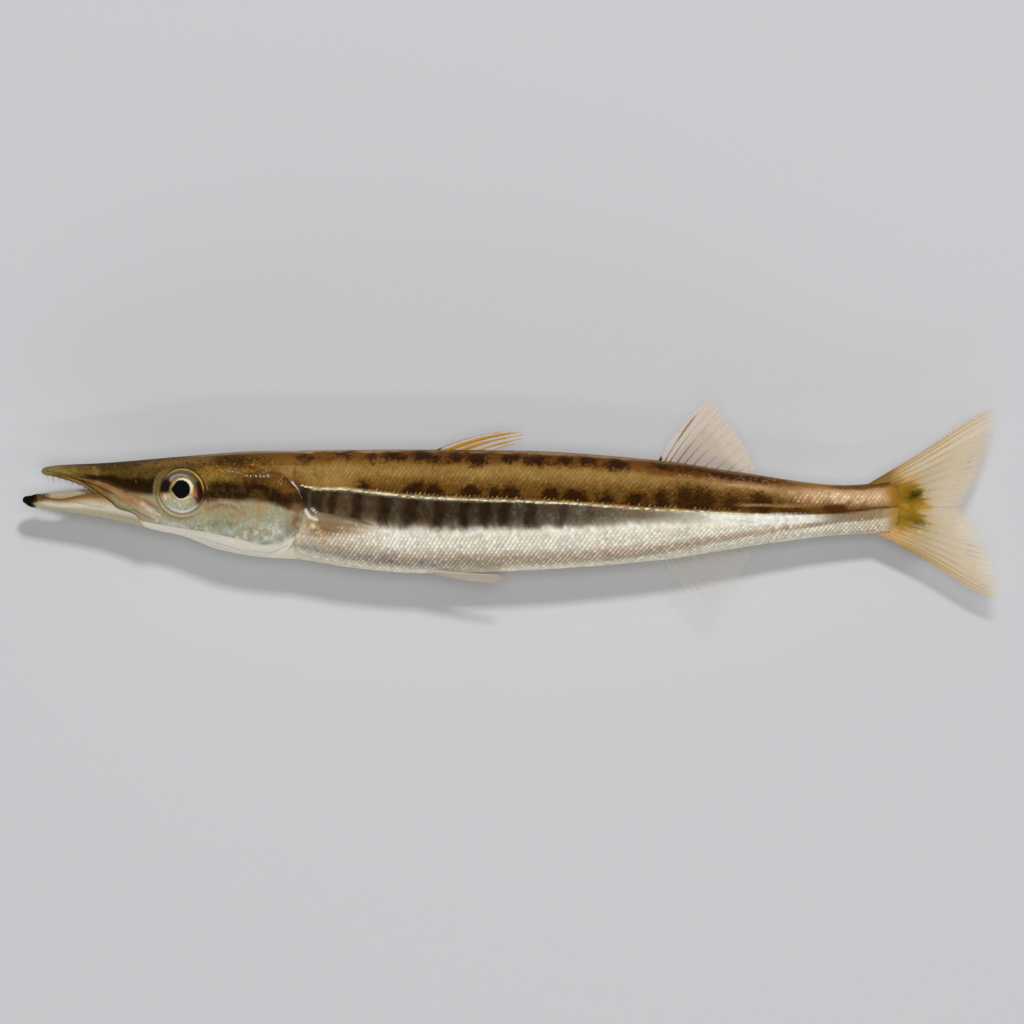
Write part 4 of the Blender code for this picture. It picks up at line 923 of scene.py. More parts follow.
def mesh_value(material, name, output="Fac"):
    """What a material reads from the corners of the mesh under a name."""
    return add_node(material, "Attribute", output, attribute_name=name)


def wet_skin(name, grain, wetness):
    """Skin that takes its colour from the mesh, with dark pepper dots and a wet gloss over it."""
    finish, shader = new_material(name, {"Roughness": 0.42, "Specular IOR Level": 0.02,
                                         "Coat Weight": wetness, "Coat Roughness": 0.16})
    place = add_node(finish, "TexCoord", "Object")
    from_dot = add_node(finish, "TexVoronoi", "Distance", [("Vector", place)], [("Scale", 5200)])
    dot_size = add_node(finish, "Math", "Value", [(0, mesh_value(finish, "pepper"))], [(1, 0.42)],
                        operation="MULTIPLY")
    in_dot = add_node(finish, "Math", "Value", [(0, from_dot), (1, dot_size)], operation="LESS_THAN")
    darkness = add_node(finish, "Math", "Value", [(0, in_dot)], [(1, 0.7)], operation="MULTIPLY")
    cloud = add_node(finish, "TexNoise", "Fac", [("Vector", place)], [("Scale", 2600), ("Detail", 4)])
    tone = add_node(finish, "MapRange", "Result", [("Value", cloud)],
                    [("From Min", 0.25), ("From Max", 0.75), ("To Min", 1 - grain),
                     ("To Max", 1 + grain)])
    toned = add_node(finish, "VectorMath", "Vector",
                     [(0, mesh_value(finish, "paint", "Color")), ("Scale", tone)], operation="SCALE")
    dotted = add_node(finish, "Mix", "Result", [("Factor", darkness), ("A", toned)],
                      [("B", (0.03, 0.017, 0.008, 1))], data_type="RGBA")
    sheen = add_node(finish, "Math", "Value", [(0, mesh_value(finish, "silver"))], [(1, 0.12)],
                     operation="MULTIPLY")
    bumps = add_node(finish, "Bump", "Normal", [("Height", cloud)],
                     [("Strength", 0.35), ("Distance", 0.00004)])
    for key, source in (("Base Color", dotted), ("Metallic", sheen), ("Normal", bumps)):
        finish.node_tree.links.new(source, shader.inputs[key])
    return finish


skin.data.materials.append(wet_skin("wet_skin", 0.09, 0.05))
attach(skin, "root")
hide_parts("head", "lower_jaw", "gill_cover_left", "gill_cover_right", "trunk", "tail")


# The scales: thin rounded plates that overlap backwards like tiles, about 135 rows from the gill
# opening to the tail fin. Each carries the colours of the skin under it, with a darker free edge.

SCALE_ROWS = 88
SCALE_LONG = 1.77        # length of a scale as a share of the way to the next one
scale_column = curve_through([(0, 33.9), (31, 50.2), (62, 67.9), (81, 79.8), (112, 98.1), (128, 106.9),
                              (134, 110.2)])
ANGLE_STEPS, SHARE_STEPS = 720, 256
ARC_PLACES = np.linspace(TRUNK_START, BODY_END, 76)
arc_angles = np.linspace(-np.pi / 2, 1.5 * np.pi, ANGLE_STEPS + 1)
arc_tables = []
for place in ARC_PLACES:
    _, ring_h, ring_s = body_place(np.full(ANGLE_STEPS + 1, place), arc_angles)
    run = np.concatenate([[0], np.cumsum(np.hypot(np.diff(ring_h), np.diff(ring_s)))])
    arc_tables.append(np.interp(np.linspace(0, 1, SHARE_STEPS + 1), run / run[-1], arc_angles))
arc_tables = np.array(arc_tables)


def angle_round(along, share):
    """The section angle at a share of the way round the body, from the belly over the left flank."""
    x = np.clip((along - ARC_PLACES[0]) / (ARC_PLACES[1] - ARC_PLACES[0]), 0, len(ARC_PLACES) - 1.001)
    turns = np.floor(share)
    y = (share - turns) * SHARE_STEPS
    i, j = x.astype(int), np.minimum(y.astype(int), SHARE_STEPS - 1)
    fx, fy = x - i, y - j
    low = arc_tables[i, j] * (1 - fy) + arc_tables[i, j + 1] * fy
    high = arc_tables[i + 1, j] * (1 - fy) + arc_tables[i + 1, j + 1] * fy
    return low * (1 - fx) + high * fx + turns * 2 * np.pi


plate_u, plate_v = np.meshgrid([-1.0, -0.55, 0.0, 0.55, 1.0], [0.0, 0.4, 0.7, 0.9, 1.0], indexing="ij")
plate_grid = np.arange(plate_u.size).reshape(plate_u.shape)
plate_rim = np.concatenate([plate_grid[:, 0], plate_grid[4, 1:], plate_grid[3::-1, 4],
                            plate_grid[0, 3:0:-1]])
plate_top = np.stack([plate_grid[:-1, :-1], plate_grid[1:, :-1], plate_grid[1:, 1:],
                      plate_grid[:-1, 1:]], axis=-1).reshape(-1)


def scale_plates(name, rows, chance):
    """One coat piece: the scales of some of the rows round the body."""
    column, row = np.meshgrid(np.arange(129), rows, indexing="ij")
    column, row = column.ravel(), row.ravel()
    # the scales of the thin tail root are wider, so only every other row goes on there
    wide = scale_column(column) > 91.5 + chance.uniform(-1.2, 1.2, len(row))
    shift = np.where(wide, (row // 2) % 2, row % 2) * 0.5
    middle = scale_column(column + shift) + chance.uniform(-0.03, 0.03, len(row))
    pitch = scale_column(column + 1) - scale_column(column)
    share = (row + np.where(wide, 1.0, 0.5)) / SCALE_ROWS
    _, height, _ = body_place(middle, angle_round(middle, share))
    kept = ((middle > np.where(height < 4.6, gill_edge(height) + 0.25,
                               TRUNK_START)) & ~(wide & (row % 2 == 1)))
    kept &= middle < 105.6 + chance.uniform(-0.6, 0.4, len(row))
    middle, share, pitch = (x[kept][:, None, None] for x in (middle, share, pitch))
    half_width = np.where(wide, 2.12, 1.06)[kept][:, None, None] / SCALE_ROWS
    count = len(middle)
    u, v = plate_u[None], plate_v[None]
    along = (middle + SCALE_LONG * pitch * (1 - 0.25 * smooth(middle, 98, 107))
             * (v * (1 - 0.3 * u * u) - 0.62))
    round_share = share + half_width * (0.8 + 0.2 * np.sin(np.pi * v)) * u
    lift = chance.uniform(-0.012, 0.012, (2, count, 1, 1))
    inset = 0.088 * (1 - v) ** 1.3 + 0.014 * u * u + 0.003 + np.abs(lift[0] * u + lift[1] * v)
    inset = inset + 0.1 * smooth(along, 104.4, 106.2)
    a, h, s = body_place(along, angle_round(along, round_share), inset)
    paint, silver, pepper, net, glitter = body_paint(a, h)
    paint *= 1 + chance.normal(0, 0.05, (count, 1, 1, 1)) * (0.8 + 1.2 * silver[..., None])
    rim = np.maximum(smooth(v, 0.84, 1.0), 0.75 * smooth(np.abs(u), 0.7, 1.0))
    # painted highlight: a stroke of a lit, lighter copy of each scale's colour, strongest where the net
    # shows, with pink or yellow tints on silver
    glow = bump(v, 0.62 + 0.28 * u, 0.16) * chance.uniform(0.2, 1.1, (count, 1, 1))
    hue = chance.uniform(0, 1, (count, 1, 1))
    paint = layers(paint, [
        (rgb(236, 186, 176), net * glow * 0.5 * (hue < 0.45) * silver),
        (rgb(226, 222, 160), net * glow * 0.35 * (hue > 0.7) * silver)])
    light = (paint * (1.55 - 0.15 * silver[..., None]) + np.array([0.002, 0.008, 0.0])
             * (1 - silver[..., None]))
    light = light + 0.04 * (net * silver)[..., None]
    paint = layer(paint * (1 - 0.26 * net[..., None]), light, glow * (0.1 + 0.9 * net))
    paint = layer(paint, paint * rgb(140, 118, 98), rim * net * 0.5)
    # some scales catch the light
    lit = ((chance.uniform(0, 1, (count, 1, 1)) < 0.03 + 0.6 * glitter)
           * chance.uniform(0.15, 0.95, (count, 1, 1)))
    glint = np.where(silver[..., None] > 0.5, rgb(255, 226, 184) + 0.12 * silver[..., None],
                     rgb(252, 206, 152) * (0.42 + 0.5 * smooth(a, 90, 98))[..., None])
    paint = layer(paint, glint, lit * smooth(glitter, 0, 0.5) * bump(v, 0.68 + 0.2 * u, 0.16)
                  * bump(u, 0, 0.4))
    start = np.arange(count)[:, None] * plate_u.size
    loops = np.concatenate([start + plate_top, start + plate_rim[::-1]], axis=1).ravel()
    sizes = np.tile([4] * 16 + [16], count)
    patch = np.stack([(v - 0.5) * 0.003, u * 0.0015], axis=-1)
    uv = np.concatenate([middle / LENGTH, share], axis=-1)[:, :, None, :] + patch
    piece = mesh_piece(name, at(a, h, s).reshape(-1, 3), (loops, sizes), paint=paint.reshape(-1, 3),
                       values={"silver": silver, "pepper": pepper}, uv=uv.reshape(-1, 2))
    ends = np.empty(len(piece.data.edges) * 2, np.int32)
    piece.data.edges.foreach_get("vertices", ends)
    on_rim = np.zeros((plate_u.size, plate_u.size), bool)
    on_rim[plate_rim, np.roll(plate_rim, -1)] = on_rim[np.roll(plate_rim, -1), plate_rim] = True
    sharp = piece.data.attributes.new("sharp_edge", "BOOLEAN", "EDGE")
    sharp.data.foreach_set("value", on_rim[ends[0::2] % plate_u.size, ends[1::2] % plate_u.size])
    return piece


scale_finish = wet_skin("wet_scales", 0.10, 0.06)
quarter = SCALE_ROWS // 4
for number, name in enumerate(("scales_left_belly", "scales_left_back", "scales_right_back",
                               "scales_right_belly")):
    plates = scale_plates(name, np.arange(number * quarter, (number + 1) * quarter),
                          np.random.default_rng(40 + number))
    plates.data.materials.append(scale_finish)
    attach(plates, "root")
    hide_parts("trunk", "tail")


# The lateral line: a row of pearly tubes, one to a scale, with a row of pale dots above it

def beads(name, places, along_half, height_half, side_half, lean, upper):
    """Small closed ovals on the skin at (along, height, way, size, colour), leaning back upwards.

    upper is the colour of their upper edges.
    """
    rings, sides = 5, 8
    count = 2 + (rings - 1) * sides
    tilt = np.pi * (np.arange(1, rings) / rings) - np.pi / 2
    turn = 2 * np.pi * np.arange(sides) / sides
    x = np.concatenate([[-1], (np.sin(tilt)[:, None] * np.ones(sides)).ravel(), [1]])
    y = np.concatenate([[0], (np.cos(tilt)[:, None] * np.cos(turn)).ravel(), [0]])
    z = np.concatenate([[0], (np.cos(tilt)[:, None] * np.sin(turn)).ravel(), [0]])
    pairs = [(k, (k + 1) % sides) for k in range(sides)]
    last = count - 1 - sides
    one = [(0, 1 + b, 1 + a) for a, b in pairs]
    one += [(1 + r * sides + a, 1 + r * sides + b, 1 + (r + 1) * sides + b, 1 + (r + 1) * sides + a)
            for r in range(rings - 2) for a, b in pairs]
    one += [(count - 1, last + a, last + b) for a, b in pairs]
    corners, faces, paints = [], [], []
    for number, (along, height, way, size, colour) in enumerate(places):
        lift = side_at(along, height) - 0.3 * side_half
        out = along_half * size * x + lean * height_half * size * y
        corners.append(at(along + out, height + height_half * size * y, way * (lift + side_half * z)))
        paints.append(layer(colour, upper, 0.8 * smooth(y, 0.2, 0.9)))
        faces += [tuple(i + count * number for i in (f if way > 0 else f[::-1])) for f in one]
    corners = np.concatenate(corners)
    return mesh_piece(name, corners, faces, paint=np.concatenate(paints),
                      values={"silver": np.full(len(corners), 0.4), "pepper": np.zeros(len(corners))})


tube_places, dot_places = [], []
chance = np.random.default_rng(7)
PEARL, BUTTER, GAP_BROWN = rgb(240, 232, 202), rgb(212, 196, 150), rgb(160, 130, 84)
for step in range(127):
    along = float(scale_column(step)) + 0.4
    fade = 1 + 0.2 * (1 - float(smooth(along, 40, 50))) - 0.75 * float(smooth(along, 80, 97))
    fade *= 0.6 + 0.4 * float(smooth(along, 35, 39))
    speckled = float(bump(along, 46, 5))
    for way in (1, -1):
        size = fade * chance.uniform(0.55, 1.15)
        share = chance.uniform()
        colour = PEARL if share > 0.4 + 0.25 * speckled else BUTTER
        colour = GAP_BROWN if share < 0.12 + 0.25 * speckled else colour
        if along < 95:
            tube_places.append((along + chance.uniform(-0.1, 0.1), float(lateral_line(along))
                                + chance.uniform(-0.07, 0.05), way, size, colour))
        if 43 < along < 88 and chance.uniform() < 0.8:
            tone = chance.uniform(0.22, 0.7)
            dot_places.append((along + 0.3, float(lateral_line(along)) + chance.uniform(0.36, 0.48),
                               way, fade * chance.uniform(0.6, 1.25), rgb(216, 186, 138) * tone))
for name, places, sizes, lean, upper in (
        ("lateral_line_tubes", tube_places, (0.36, 0.15, 0.05), 0.3, rgb(204, 166, 90)),
        ("lateral_line_dots", dot_places, (0.07, 0.17, 0.03), 0.7, rgb(170, 128, 72))):
    row = beads(name, places, *sizes, lean, upper)
    row.data.materials.append(scale_finish)
    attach(row, "root")


# The eyes: domes painted with the iris under a clear wet coat, sunk into the sockets. The pupil is a
# black disc with a blunt point forwards, edged with a pale ring, and gold, silver and dark red lie round
# it.

EYE_RINGS, EYE_SPOKES = 56, 128
EYE_SIDE = 3.52          # how far out the eye sits
EYE_DOME, EYE_DEPTH = 0.42, 1.1


def eye_colours(x, y):
    """Colours of the eye at x millimetres behind and y above its middle."""
    r, turn = np.hypot(x, y), np.degrees(np.arctan2(y, x))

    def arc(radius, width, start, end, soft=12):
        swing = np.mod(turn - start, 360)
        length = (end - start) % 360
        inside = between(swing, 0, soft, length - soft, length)
        return np.exp(-((r - radius) / width) ** 2) * np.where(swing < length, inside, 0)

    fine = mottle(x * 3, y * 3, 0.5, 51)
    cloud = mottle(x, y, 0.55, 52)
    paint = layers(rgb(118, 104, 66), [
        (rgb(160, 162, 134), smooth(-y - 0.3 * cloud, -0.2, 0.9)),
        (rgb(190, 184, 148), 0.7 * arc(1.75, 0.4, 205, 335, 30) * smooth(cloud + 0.6 * fine, -0.3, 0.7)),
        (rgb(128, 146, 124), 0.7 * arc(2.15, 0.32, 225, 325, 25) * smooth(cloud - 0.4 * fine, -0.2, 0.7)),
        (rgb(216, 208, 182), 0.5 * smooth(fine, 0.0, 0.8) * smooth(-y, 0.3, 0.8)),
        # olive and purple-grey bands over the pupil, with a silver arc between them
        (rgb(78, 68, 50), 0.9 * arc(2.3, 0.26, 20, 165, 25)),
        (rgb(120, 112, 92), 0.5 * arc(2.4, 0.12, 50, 120, 20) * smooth(fine, -0.3, 0.5))])
    from_pupil = np.hypot(x + 0.15, y - 0.24)
    silver_arc = (np.exp(-((from_pupil - 1.74 - 0.1 * cloud) / 0.13) ** 2)
                  * between(turn, 52, 78, 140, 162))
    paint = layers(paint, [
        (rgb(150, 156, 156), 0.85 * silver_arc),
        (rgb(150, 132, 78), 0.6 * np.exp(-((from_pupil - 1.45) / 0.1) ** 2) * smooth(turn, 60, 100))])
    # dark patches in front of and behind the pupil
    ragged = 0.16 * cloud + 0.1 * fine
    paint = layers(paint, [
        (rgb(28, 13, 13), 1.5 * arc(2.05 + ragged, 0.82, 133, 193, 20)),
        (rgb(66, 34, 18), 1.1 * arc(2.25 + ragged, 0.66, -52, 46, 22)),
        (rgb(30, 13, 9), 1.1 * arc(2.3 + ragged, 0.5, -30, 40, 16) * (0.8 + 0.3 * fine)),
        (rgb(150, 110, 40), 0.6 * arc(2.2, 0.3, 205, 222) + 0.5 * arc(1.8, 0.3, -75, -36, 18)),
        (rgb(170, 130, 50), 0.7 * np.exp(-((from_pupil - 1.3) / 0.12) ** 2) * smooth(-x, 0.3, 0.9)),
        # lit streaks
        (rgb(255, 196, 150), 1.1 * arc(2.24, 0.13, 184, 214, 12)),
        (rgb(226, 84, 34), 0.9 * arc(2.42, 0.1, 181, 203, 10)),
        (rgb(222, 74, 56), (0.75 + 0.5 * fine) * arc(1.62, 0.12, -26, 14, 14)),
        (rgb(160, 56, 34), 0.5 * arc(1.9, 0.14, -40, -8, 12)),
        # gold rim above; below, a pale blue-white crescent that is a painted highlight, and a thin brown
        # line
        (rgb(196, 152, 58), 0.85 * arc(2.64, 0.055, 20, 140, 26)),
        (rgb(214, 152, 44), arc(2.58, 0.11, -8, 66, 24)),
        (rgb(250, 206, 104), 0.7 * arc(2.6, 0.05, 12, 60, 16)),
        (rgb(206, 214, 216), (0.8 + 0.3 * fine) * arc(2.5, 0.1, 215, 322, 30)),
        (rgb(170, 134, 92), 0.6 * arc(2.7, 0.05, 190, 350, 20))])
    # the pupil in its pale ring, which is widest behind and above
    ring = 1.37 + 0.03 * fine - np.hypot(x - 0.03, y - 0.24)
    paint = layers(paint, [
        (rgb(182, 156, 100), smooth(ring, -0.06, 0.06)),
        (rgb(236, 224, 194), smooth(ring, -0.02, 0.08) * smooth(x * 0.7 + y * 0.7, 0.2, 0.9)),
        (rgb(196, 148, 70), 0.8 * smooth(ring, -0.02, 0.06) * smooth(x * 0.8 - y * 0.6, 0.55, 0.95)
         * falls(ring, 0.16, 0.3)),
        (rgb(226, 214, 184), 0.7 * smooth(ring, -0.02, 0.06) * smooth(-y, 0.5, 0.8))])
    return layer(paint, np.array([0.0015, 0.0012, 0.001]), 1
                 - smooth(pupil_distance(x, y), -0.035, 0.035))


def pupil_distance(x, y):
    """Distance outside the pupil: a disc with a blunt point forwards."""
    back_x, up_y = x + 0.18, y - 0.22
    turn = np.abs(np.degrees(np.arctan2(up_y, -back_x)))
    return np.hypot(back_x, up_y) - 1.15 * (1 - 0.115 * bump(turn, 37, 25) + 0.03 * bump(turn, 0, 12))


eye_finish, eye_shader = new_material("wet_eye",
                                      {"Roughness": 0.35, "Specular IOR Level": 0.25,
                                       "Coat Weight": 1.0, "Coat Roughness": 0.03, "Coat IOR": 1.34})
eye_finish.node_tree.links.new(mesh_value(eye_finish, "paint", "Color"), eye_shader.inputs["Base Color"])

front_r = EYE_RADIUS * np.sin(np.linspace(0.0, 1.0, EYE_RINGS + 1)[1:] * np.pi / 2) ** 0.9
rear_shares = np.array([0.93, 0.75, 0.5, 0.25])
eye_r = np.concatenate([front_r, EYE_RADIUS * rear_shares])
eye_out = np.concatenate([EYE_DOME * np.sqrt(np.clip(1 - (front_r / EYE_RADIUS) ** 2, 0, 1)),
                          -EYE_DEPTH * np.sqrt(1 - rear_shares ** 2)])
spokes = 2 * np.pi * np.arange(EYE_SPOKES) / EYE_SPOKES
eye_x, eye_y = eye_r[:, None] * np.cos(spokes), eye_r[:, None] * np.sin(spokes)
eye_z = np.repeat(eye_out[:, None], EYE_SPOKES, axis=1)
eye_quads = closed_grid_faces(len(eye_r), EYE_SPOKES)
eye_count = len(eye_r) * EYE_SPOKES
for side_name, way in (("left", 1), ("right", -1)):
    x = np.concatenate([eye_x.ravel(), [0, 0]])
    y = np.concatenate([eye_y.ravel(), [0, 0]])
    z = np.concatenate([eye_z.ravel(), [EYE_DOME, -EYE_DEPTH]])
    fans = ([(eye_count, k, (k + 1) % EYE_SPOKES) for k in range(EYE_SPOKES)]
            + [(eye_count + 1, eye_count - EYE_SPOKES + (k + 1) % EYE_SPOKES, eye_count - EYE_SPOKES
                + k) for k in range(EYE_SPOKES)])
    faces = [tuple(f) for f in eye_quads[:, ::-1]] + fans
    if way < 0:
        faces = [f[::-1] for f in faces]
    corners = at(EYE_ALONG + x, EYE_HEIGHT + y, way * (EYE_SIDE + z))
    eye = mesh_piece("eye_" + side_name + "_glass", corners, faces, paint=eye_colours(x, y))
    eye.data.materials.append(eye_finish)
    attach(eye, "root")
    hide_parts("eye_" + side_name)


# The teeth: slender pale fangs in one row along each jaw

def tooth_row(name, feet):
    """One mesh of pointed teeth, each bent a little backwards, from (foot, tip, radius)."""
    rings, sides = ((0.0, 1.0), (0.45, 0.72), (0.8, 0.4)), 8
    corners, faces = [], []
    for foot, tip, radius in feet:
        start = len(corners)
        axis = (tip - foot) / np.linalg.norm(tip - foot)
        one = np.cross(axis, [0.0, 0.0, 1.0])
        one /= np.linalg.norm(one)
        two = np.cross(axis, one)
        for share, width in rings:
            for k in range(sides):
                turn = 2 * np.pi * k / sides
                corners.append(foot + (tip - foot) * share + np.array([-0.04, 0, 0])
                               * np.sin(np.pi * share) + (one * np.cos(turn) + two * np.sin(turn))
                               * radius * width)
        corners += [foot - axis * 0.05, tip]
        pairs = [(k, (k + 1) % sides) for k in range(sides)]
        last = start + (len(rings) - 1) * sides
        for low in range(start, last, sides):
            faces += [(low + a, low + b, low + b + sides, low + a + sides) for a, b in pairs]
        for a, b in pairs:
            faces.append((last + sides, start + b, start + a))
            faces.append((last + sides + 1, last + a, last + b))
    return mesh_piece(name, corners, faces)


def gape(along):
    """Height of the open mouth at a place along it."""
    return max(float(belly(along)) - float(jaw_rim(along)), 0.1)


tooth_chance = np.random.default_rng(12)
feet = []
for way in (1, -1):
    for number, along in enumerate(np.arange(2.9, 9.2, 0.78)):
        long = ((0.6 if number % 3 == 1 else 0.34) * tooth_chance.uniform(0.8, 1.1)
                * (1 - 0.55 * float(smooth(along, 4.6, 6.4))))
        long = min(long, 0.45 * gape(along))
        side = way * (0.8 * float(flank(along)) - 0.04)
        feet.append((at(along, belly(along) + 0.15, side),
                     at(along + 0.12, belly(along) - long, side * 0.95), 0.045))
    for number, along in enumerate(np.arange(2.3, 9.4, 0.58)):
        long = min((0.7 if number % 4 == 1 else 0.3) * tooth_chance.uniform(0.85, 1.1),
                   0.45 * gape(along))
        side = way * 0.86 * float(jaw_half(along))
        feet.append((at(along, jaw_rim(along) - 0.15, side),
                     at(along + 0.1, jaw_rim(along) + long, side * 0.96), 0.05))
teeth = tooth_row("teeth", feet)
enamel, _ = new_material("tooth_enamel", {"Base Color": (0.52, 0.46, 0.37, 1), "Roughness": 0.2})
teeth.data.materials.append(enamel)
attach(teeth, "root")


# The fins: clear skin between bony rays. Each ray forks towards the margin, which is notched
# between the rays. They are glassy, peach or golden, and darkest where they leave the body.

def fin_material(name, gloss):
    """Fin skin that takes its colour and how clear it is from the mesh."""
    finish, shader = new_material(name, {"Roughness": gloss, "Specular IOR Level": 0.35})
    for key, source in (("Base Color", mesh_value(finish, "paint", "Color")),
                        ("Alpha", mesh_value(finish, "body"))):
        finish.node_tree.links.new(source, shader.inputs[key])
    return finish


clear_fin = fin_material("clear_fin", 0.35)


def fin_sheet(name, node, surface, ray_shares, colours, columns=14, rows=64, thick=(0.16, 0.05),
              ray=(0.1, 0.03),
              notch=0.04, fork=(0.45, 0.75)):
    """A thin closed fin on surface(u, v), u from the first ray to the last and v from root to margin."""
    count = len(ray_shares)
    k = np.linspace(0, count - 1, (count - 1) * columns + 1)
    u = np.interp(k, np.arange(count), ray_shares)
    U, V = np.meshgrid(u, np.linspace(0, 1, rows), indexing="ij")
    K = np.repeat(k[:, None], rows, axis=1)
    off = K - np.round(K)
    V = V * (1 - notch * np.sin(np.pi * np.abs(off)) ** 2 * smooth(V, 0.5, 1.0))
    a, h, s = surface(U, V)
    places = at(a, h, s)
    across, down = np.gradient(places, axis=0), np.gradient(places, axis=1)
    normal = np.cross(across, down)
    normal /= np.maximum(np.linalg.norm(normal, axis=-1, keepdims=True), 1e-9)
    space = np.linalg.norm(across, axis=-1) * columns
    x = off * space
    radius = ray[0] + (ray[1] - ray[0]) * V
    spread_one = 0.24 * space * smooth(V, fork[0], 1.0) if fork else 0
    spread_two = 0.11 * space * smooth(V, fork[1], 1.05) if fork else 0
    ridge = np.zeros(V.shape)
    for one in (-1, 1):
        for two in (-1, 1):
            ridge = np.maximum(ridge, np.exp(-((x - one * spread_one - two * spread_two) / radius) ** 2))
    sheet_thick = thick[0] + (thick[1] - thick[0]) * V ** 0.5
    half = (sheet_thick / 2 + radius * 0.75 * ridge)[..., None]
    top, bottom = places + normal * half, places - normal * half
    paint, solid = colours(a, h, V, ridge, K)
    n, m = V.shape
    grid = np.arange(n * m).reshape(n, m)
    quads = np.stack([grid[:-1, :-1], grid[1:, :-1], grid[1:, 1:], grid[:-1, 1:]], axis=-1).reshape(-1, 4)
    rim = np.concatenate([grid[:, 0], grid[-1, 1:], grid[-2::-1, -1], grid[0, -2:0:-1]])
    after = np.roll(rim, -1)
    sides = np.stack([after, rim, rim + n * m, after + n * m], axis=-1)
    quads = np.concatenate([quads, quads[:, ::-1] + n * m, sides])
    piece = mesh_piece(name, np.concatenate([top.reshape(-1, 3), bottom.reshape(-1, 3)]),
                       (quads.ravel(), np.full(len(quads), 4)),
                       paint=np.concatenate([paint.reshape(-1, 3)] * 2),
                       values={"body": np.clip(np.concatenate([solid.ravel()] * 2), 0, 1)})
    piece.data.materials.append(clear_fin)
    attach(piece, "root")
    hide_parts(node)
    return piece


PEACH = rgb(240, 216, 186)


def lerp(a, b, t):
    """From a to b as t goes from 0 to 1."""
    return a + (b - a) * t


def arch(p0, p1, p2, t):
    """From p0 to p2 on a curve that leans towards p1."""
    return p0 * (1 - t) ** 2 + p1 * 2 * t * (1 - t) + p2 * t * t


# First dorsal fin: five golden spines folded back low over the back
spine_root = curve_through([(0.0, 50.4), (0.25, 51.9), (0.5, 53.6), (0.75, 55.6), (1.0, 57.4)])
spine_tip = curve_through([(0.0, 60.3), (0.25, 61.6), (0.5, 61.6), (0.75, 61.4), (1.0, 60.4)])
spine_high = curve_through([(0.0, 9.0), (0.25, 8.93), (0.5, 8.55), (0.75, 8.1), (1.0, 7.5)])


def first_dorsal(u, v):
    """Surface of the fin: u from the first spine to the last, v from root to tip."""
    root = back(spine_root(u)) - 0.15
    return (lerp(spine_root(u), spine_tip(u), v), lerp(root, spine_high(u), v)
            + 0.55 * (1 - u) * 4 * v * (1 - v), 0 * v)


def first_dorsal_colours(a, h, v, ridge, k):
    """Colour and solidity: golden spines, the second one strongest, and clear skin between them."""
    strength = np.interp(k, [0, 1, 2, 3, 4], [0.6, 1.0, 0.9, 0.75, 0.6])
    ridge = np.maximum(ridge, 0.95 * bump(k, 1.0, 0.36) * falls(v, 0.7, 1.0))
    ridge = np.maximum(ridge, 0.8 * bump(k, 2.0, 0.3) * bump(v, 0.15, 0.3))
    gold = smooth(ridge, 0.02, 0.25)
    paint = layer(PEACH, rgb(200, 148, 16), gold)
    # the paler gold on the weaker spines and towards the tips is a painted highlight
    paint = layer(paint, rgb(222, 176, 84), 0.8 * gold * (1 - strength)
                  + 0.35 * gold * smooth(v, 0.6, 0.95))
    root = spot(a, h, (50.8, 6.95), 0.6, 0.25)
    paint = layer(paint, C["eye_stripe"], 0.9 * root + 0.5 * ridge * falls(v, 0, 0.08))
    return (paint, (0.14 + 0.95 * ridge * (0.45 + 0.6 * strength) * (1 - 0.25 * v))
            * falls(v, 0.94, 1.0) + root)


fin_sheet("first_dorsal_membrane", "dorsal_fin_first", first_dorsal, np.linspace(0, 1, 5),
          first_dorsal_colours, columns=16, rows=60, ray=(0.19, 0.08), notch=0.15, fork=None)

# Second dorsal and anal fins: a short first ray, a long second one, and the rest stepping down
SOFT_ROOTS = [77.85, 78.6, 79.2, 80.1, 81.0, 82.1, 83.5, 84.9, 86.25, 87.35, 87.6]
SOFT_TIPS = [(80.0, 8.7), (84.3, 13.1), (85.0, 12.4), (85.7, 11.5), (86.4, 10.5), (87.1, 9.6),
             (87.8, 8.5), (88.5, 7.4), (89.1, 6.2), (89.6, 5.0), (90.0, 4.2)]
SOFT_LAST = len(SOFT_ROOTS) - 1
soft_root = curve_through(list(enumerate(SOFT_ROOTS)))
soft_tip = curve_through([(i, p[0]) for i, p in enumerate(SOFT_TIPS)])
soft_high = curve_through([(i, p[1]) for i, p in enumerate(SOFT_TIPS)])


def second_dorsal(u, v):
    k = u * SOFT_LAST
    root_a, root_h = soft_root(k), back(soft_root(k)) - 0.2
    tip_a, tip_h = soft_tip(k), soft_high(k)
    bow = 0.03 * (1 - 0.8 * u) * 4 * v * (1 - v)
    return (lerp(root_a, tip_a, v) - bow * (tip_h - root_h), lerp(root_h, tip_h, v)
            + bow * (tip_a - root_a), 0 * v)


def anal(u, v):
    k = u * SOFT_LAST
    root_a, root_h = soft_root(k) + 0.5, belly(soft_root(k) + 0.5) + 0.2
    tip_a, tip_h = soft_tip(k) + 0.1, -soft_high(k)
    tip_h = np.minimum(tip_h, root_h - 0.6)
    bow = 0.06 * (1 - 0.8 * u) * 4 * v * (1 - v)
    return (lerp(root_a, tip_a, v) + bow * (tip_h - root_h), lerp(root_h, tip_h, v)
            - bow * (tip_a - root_a), 0 * v)


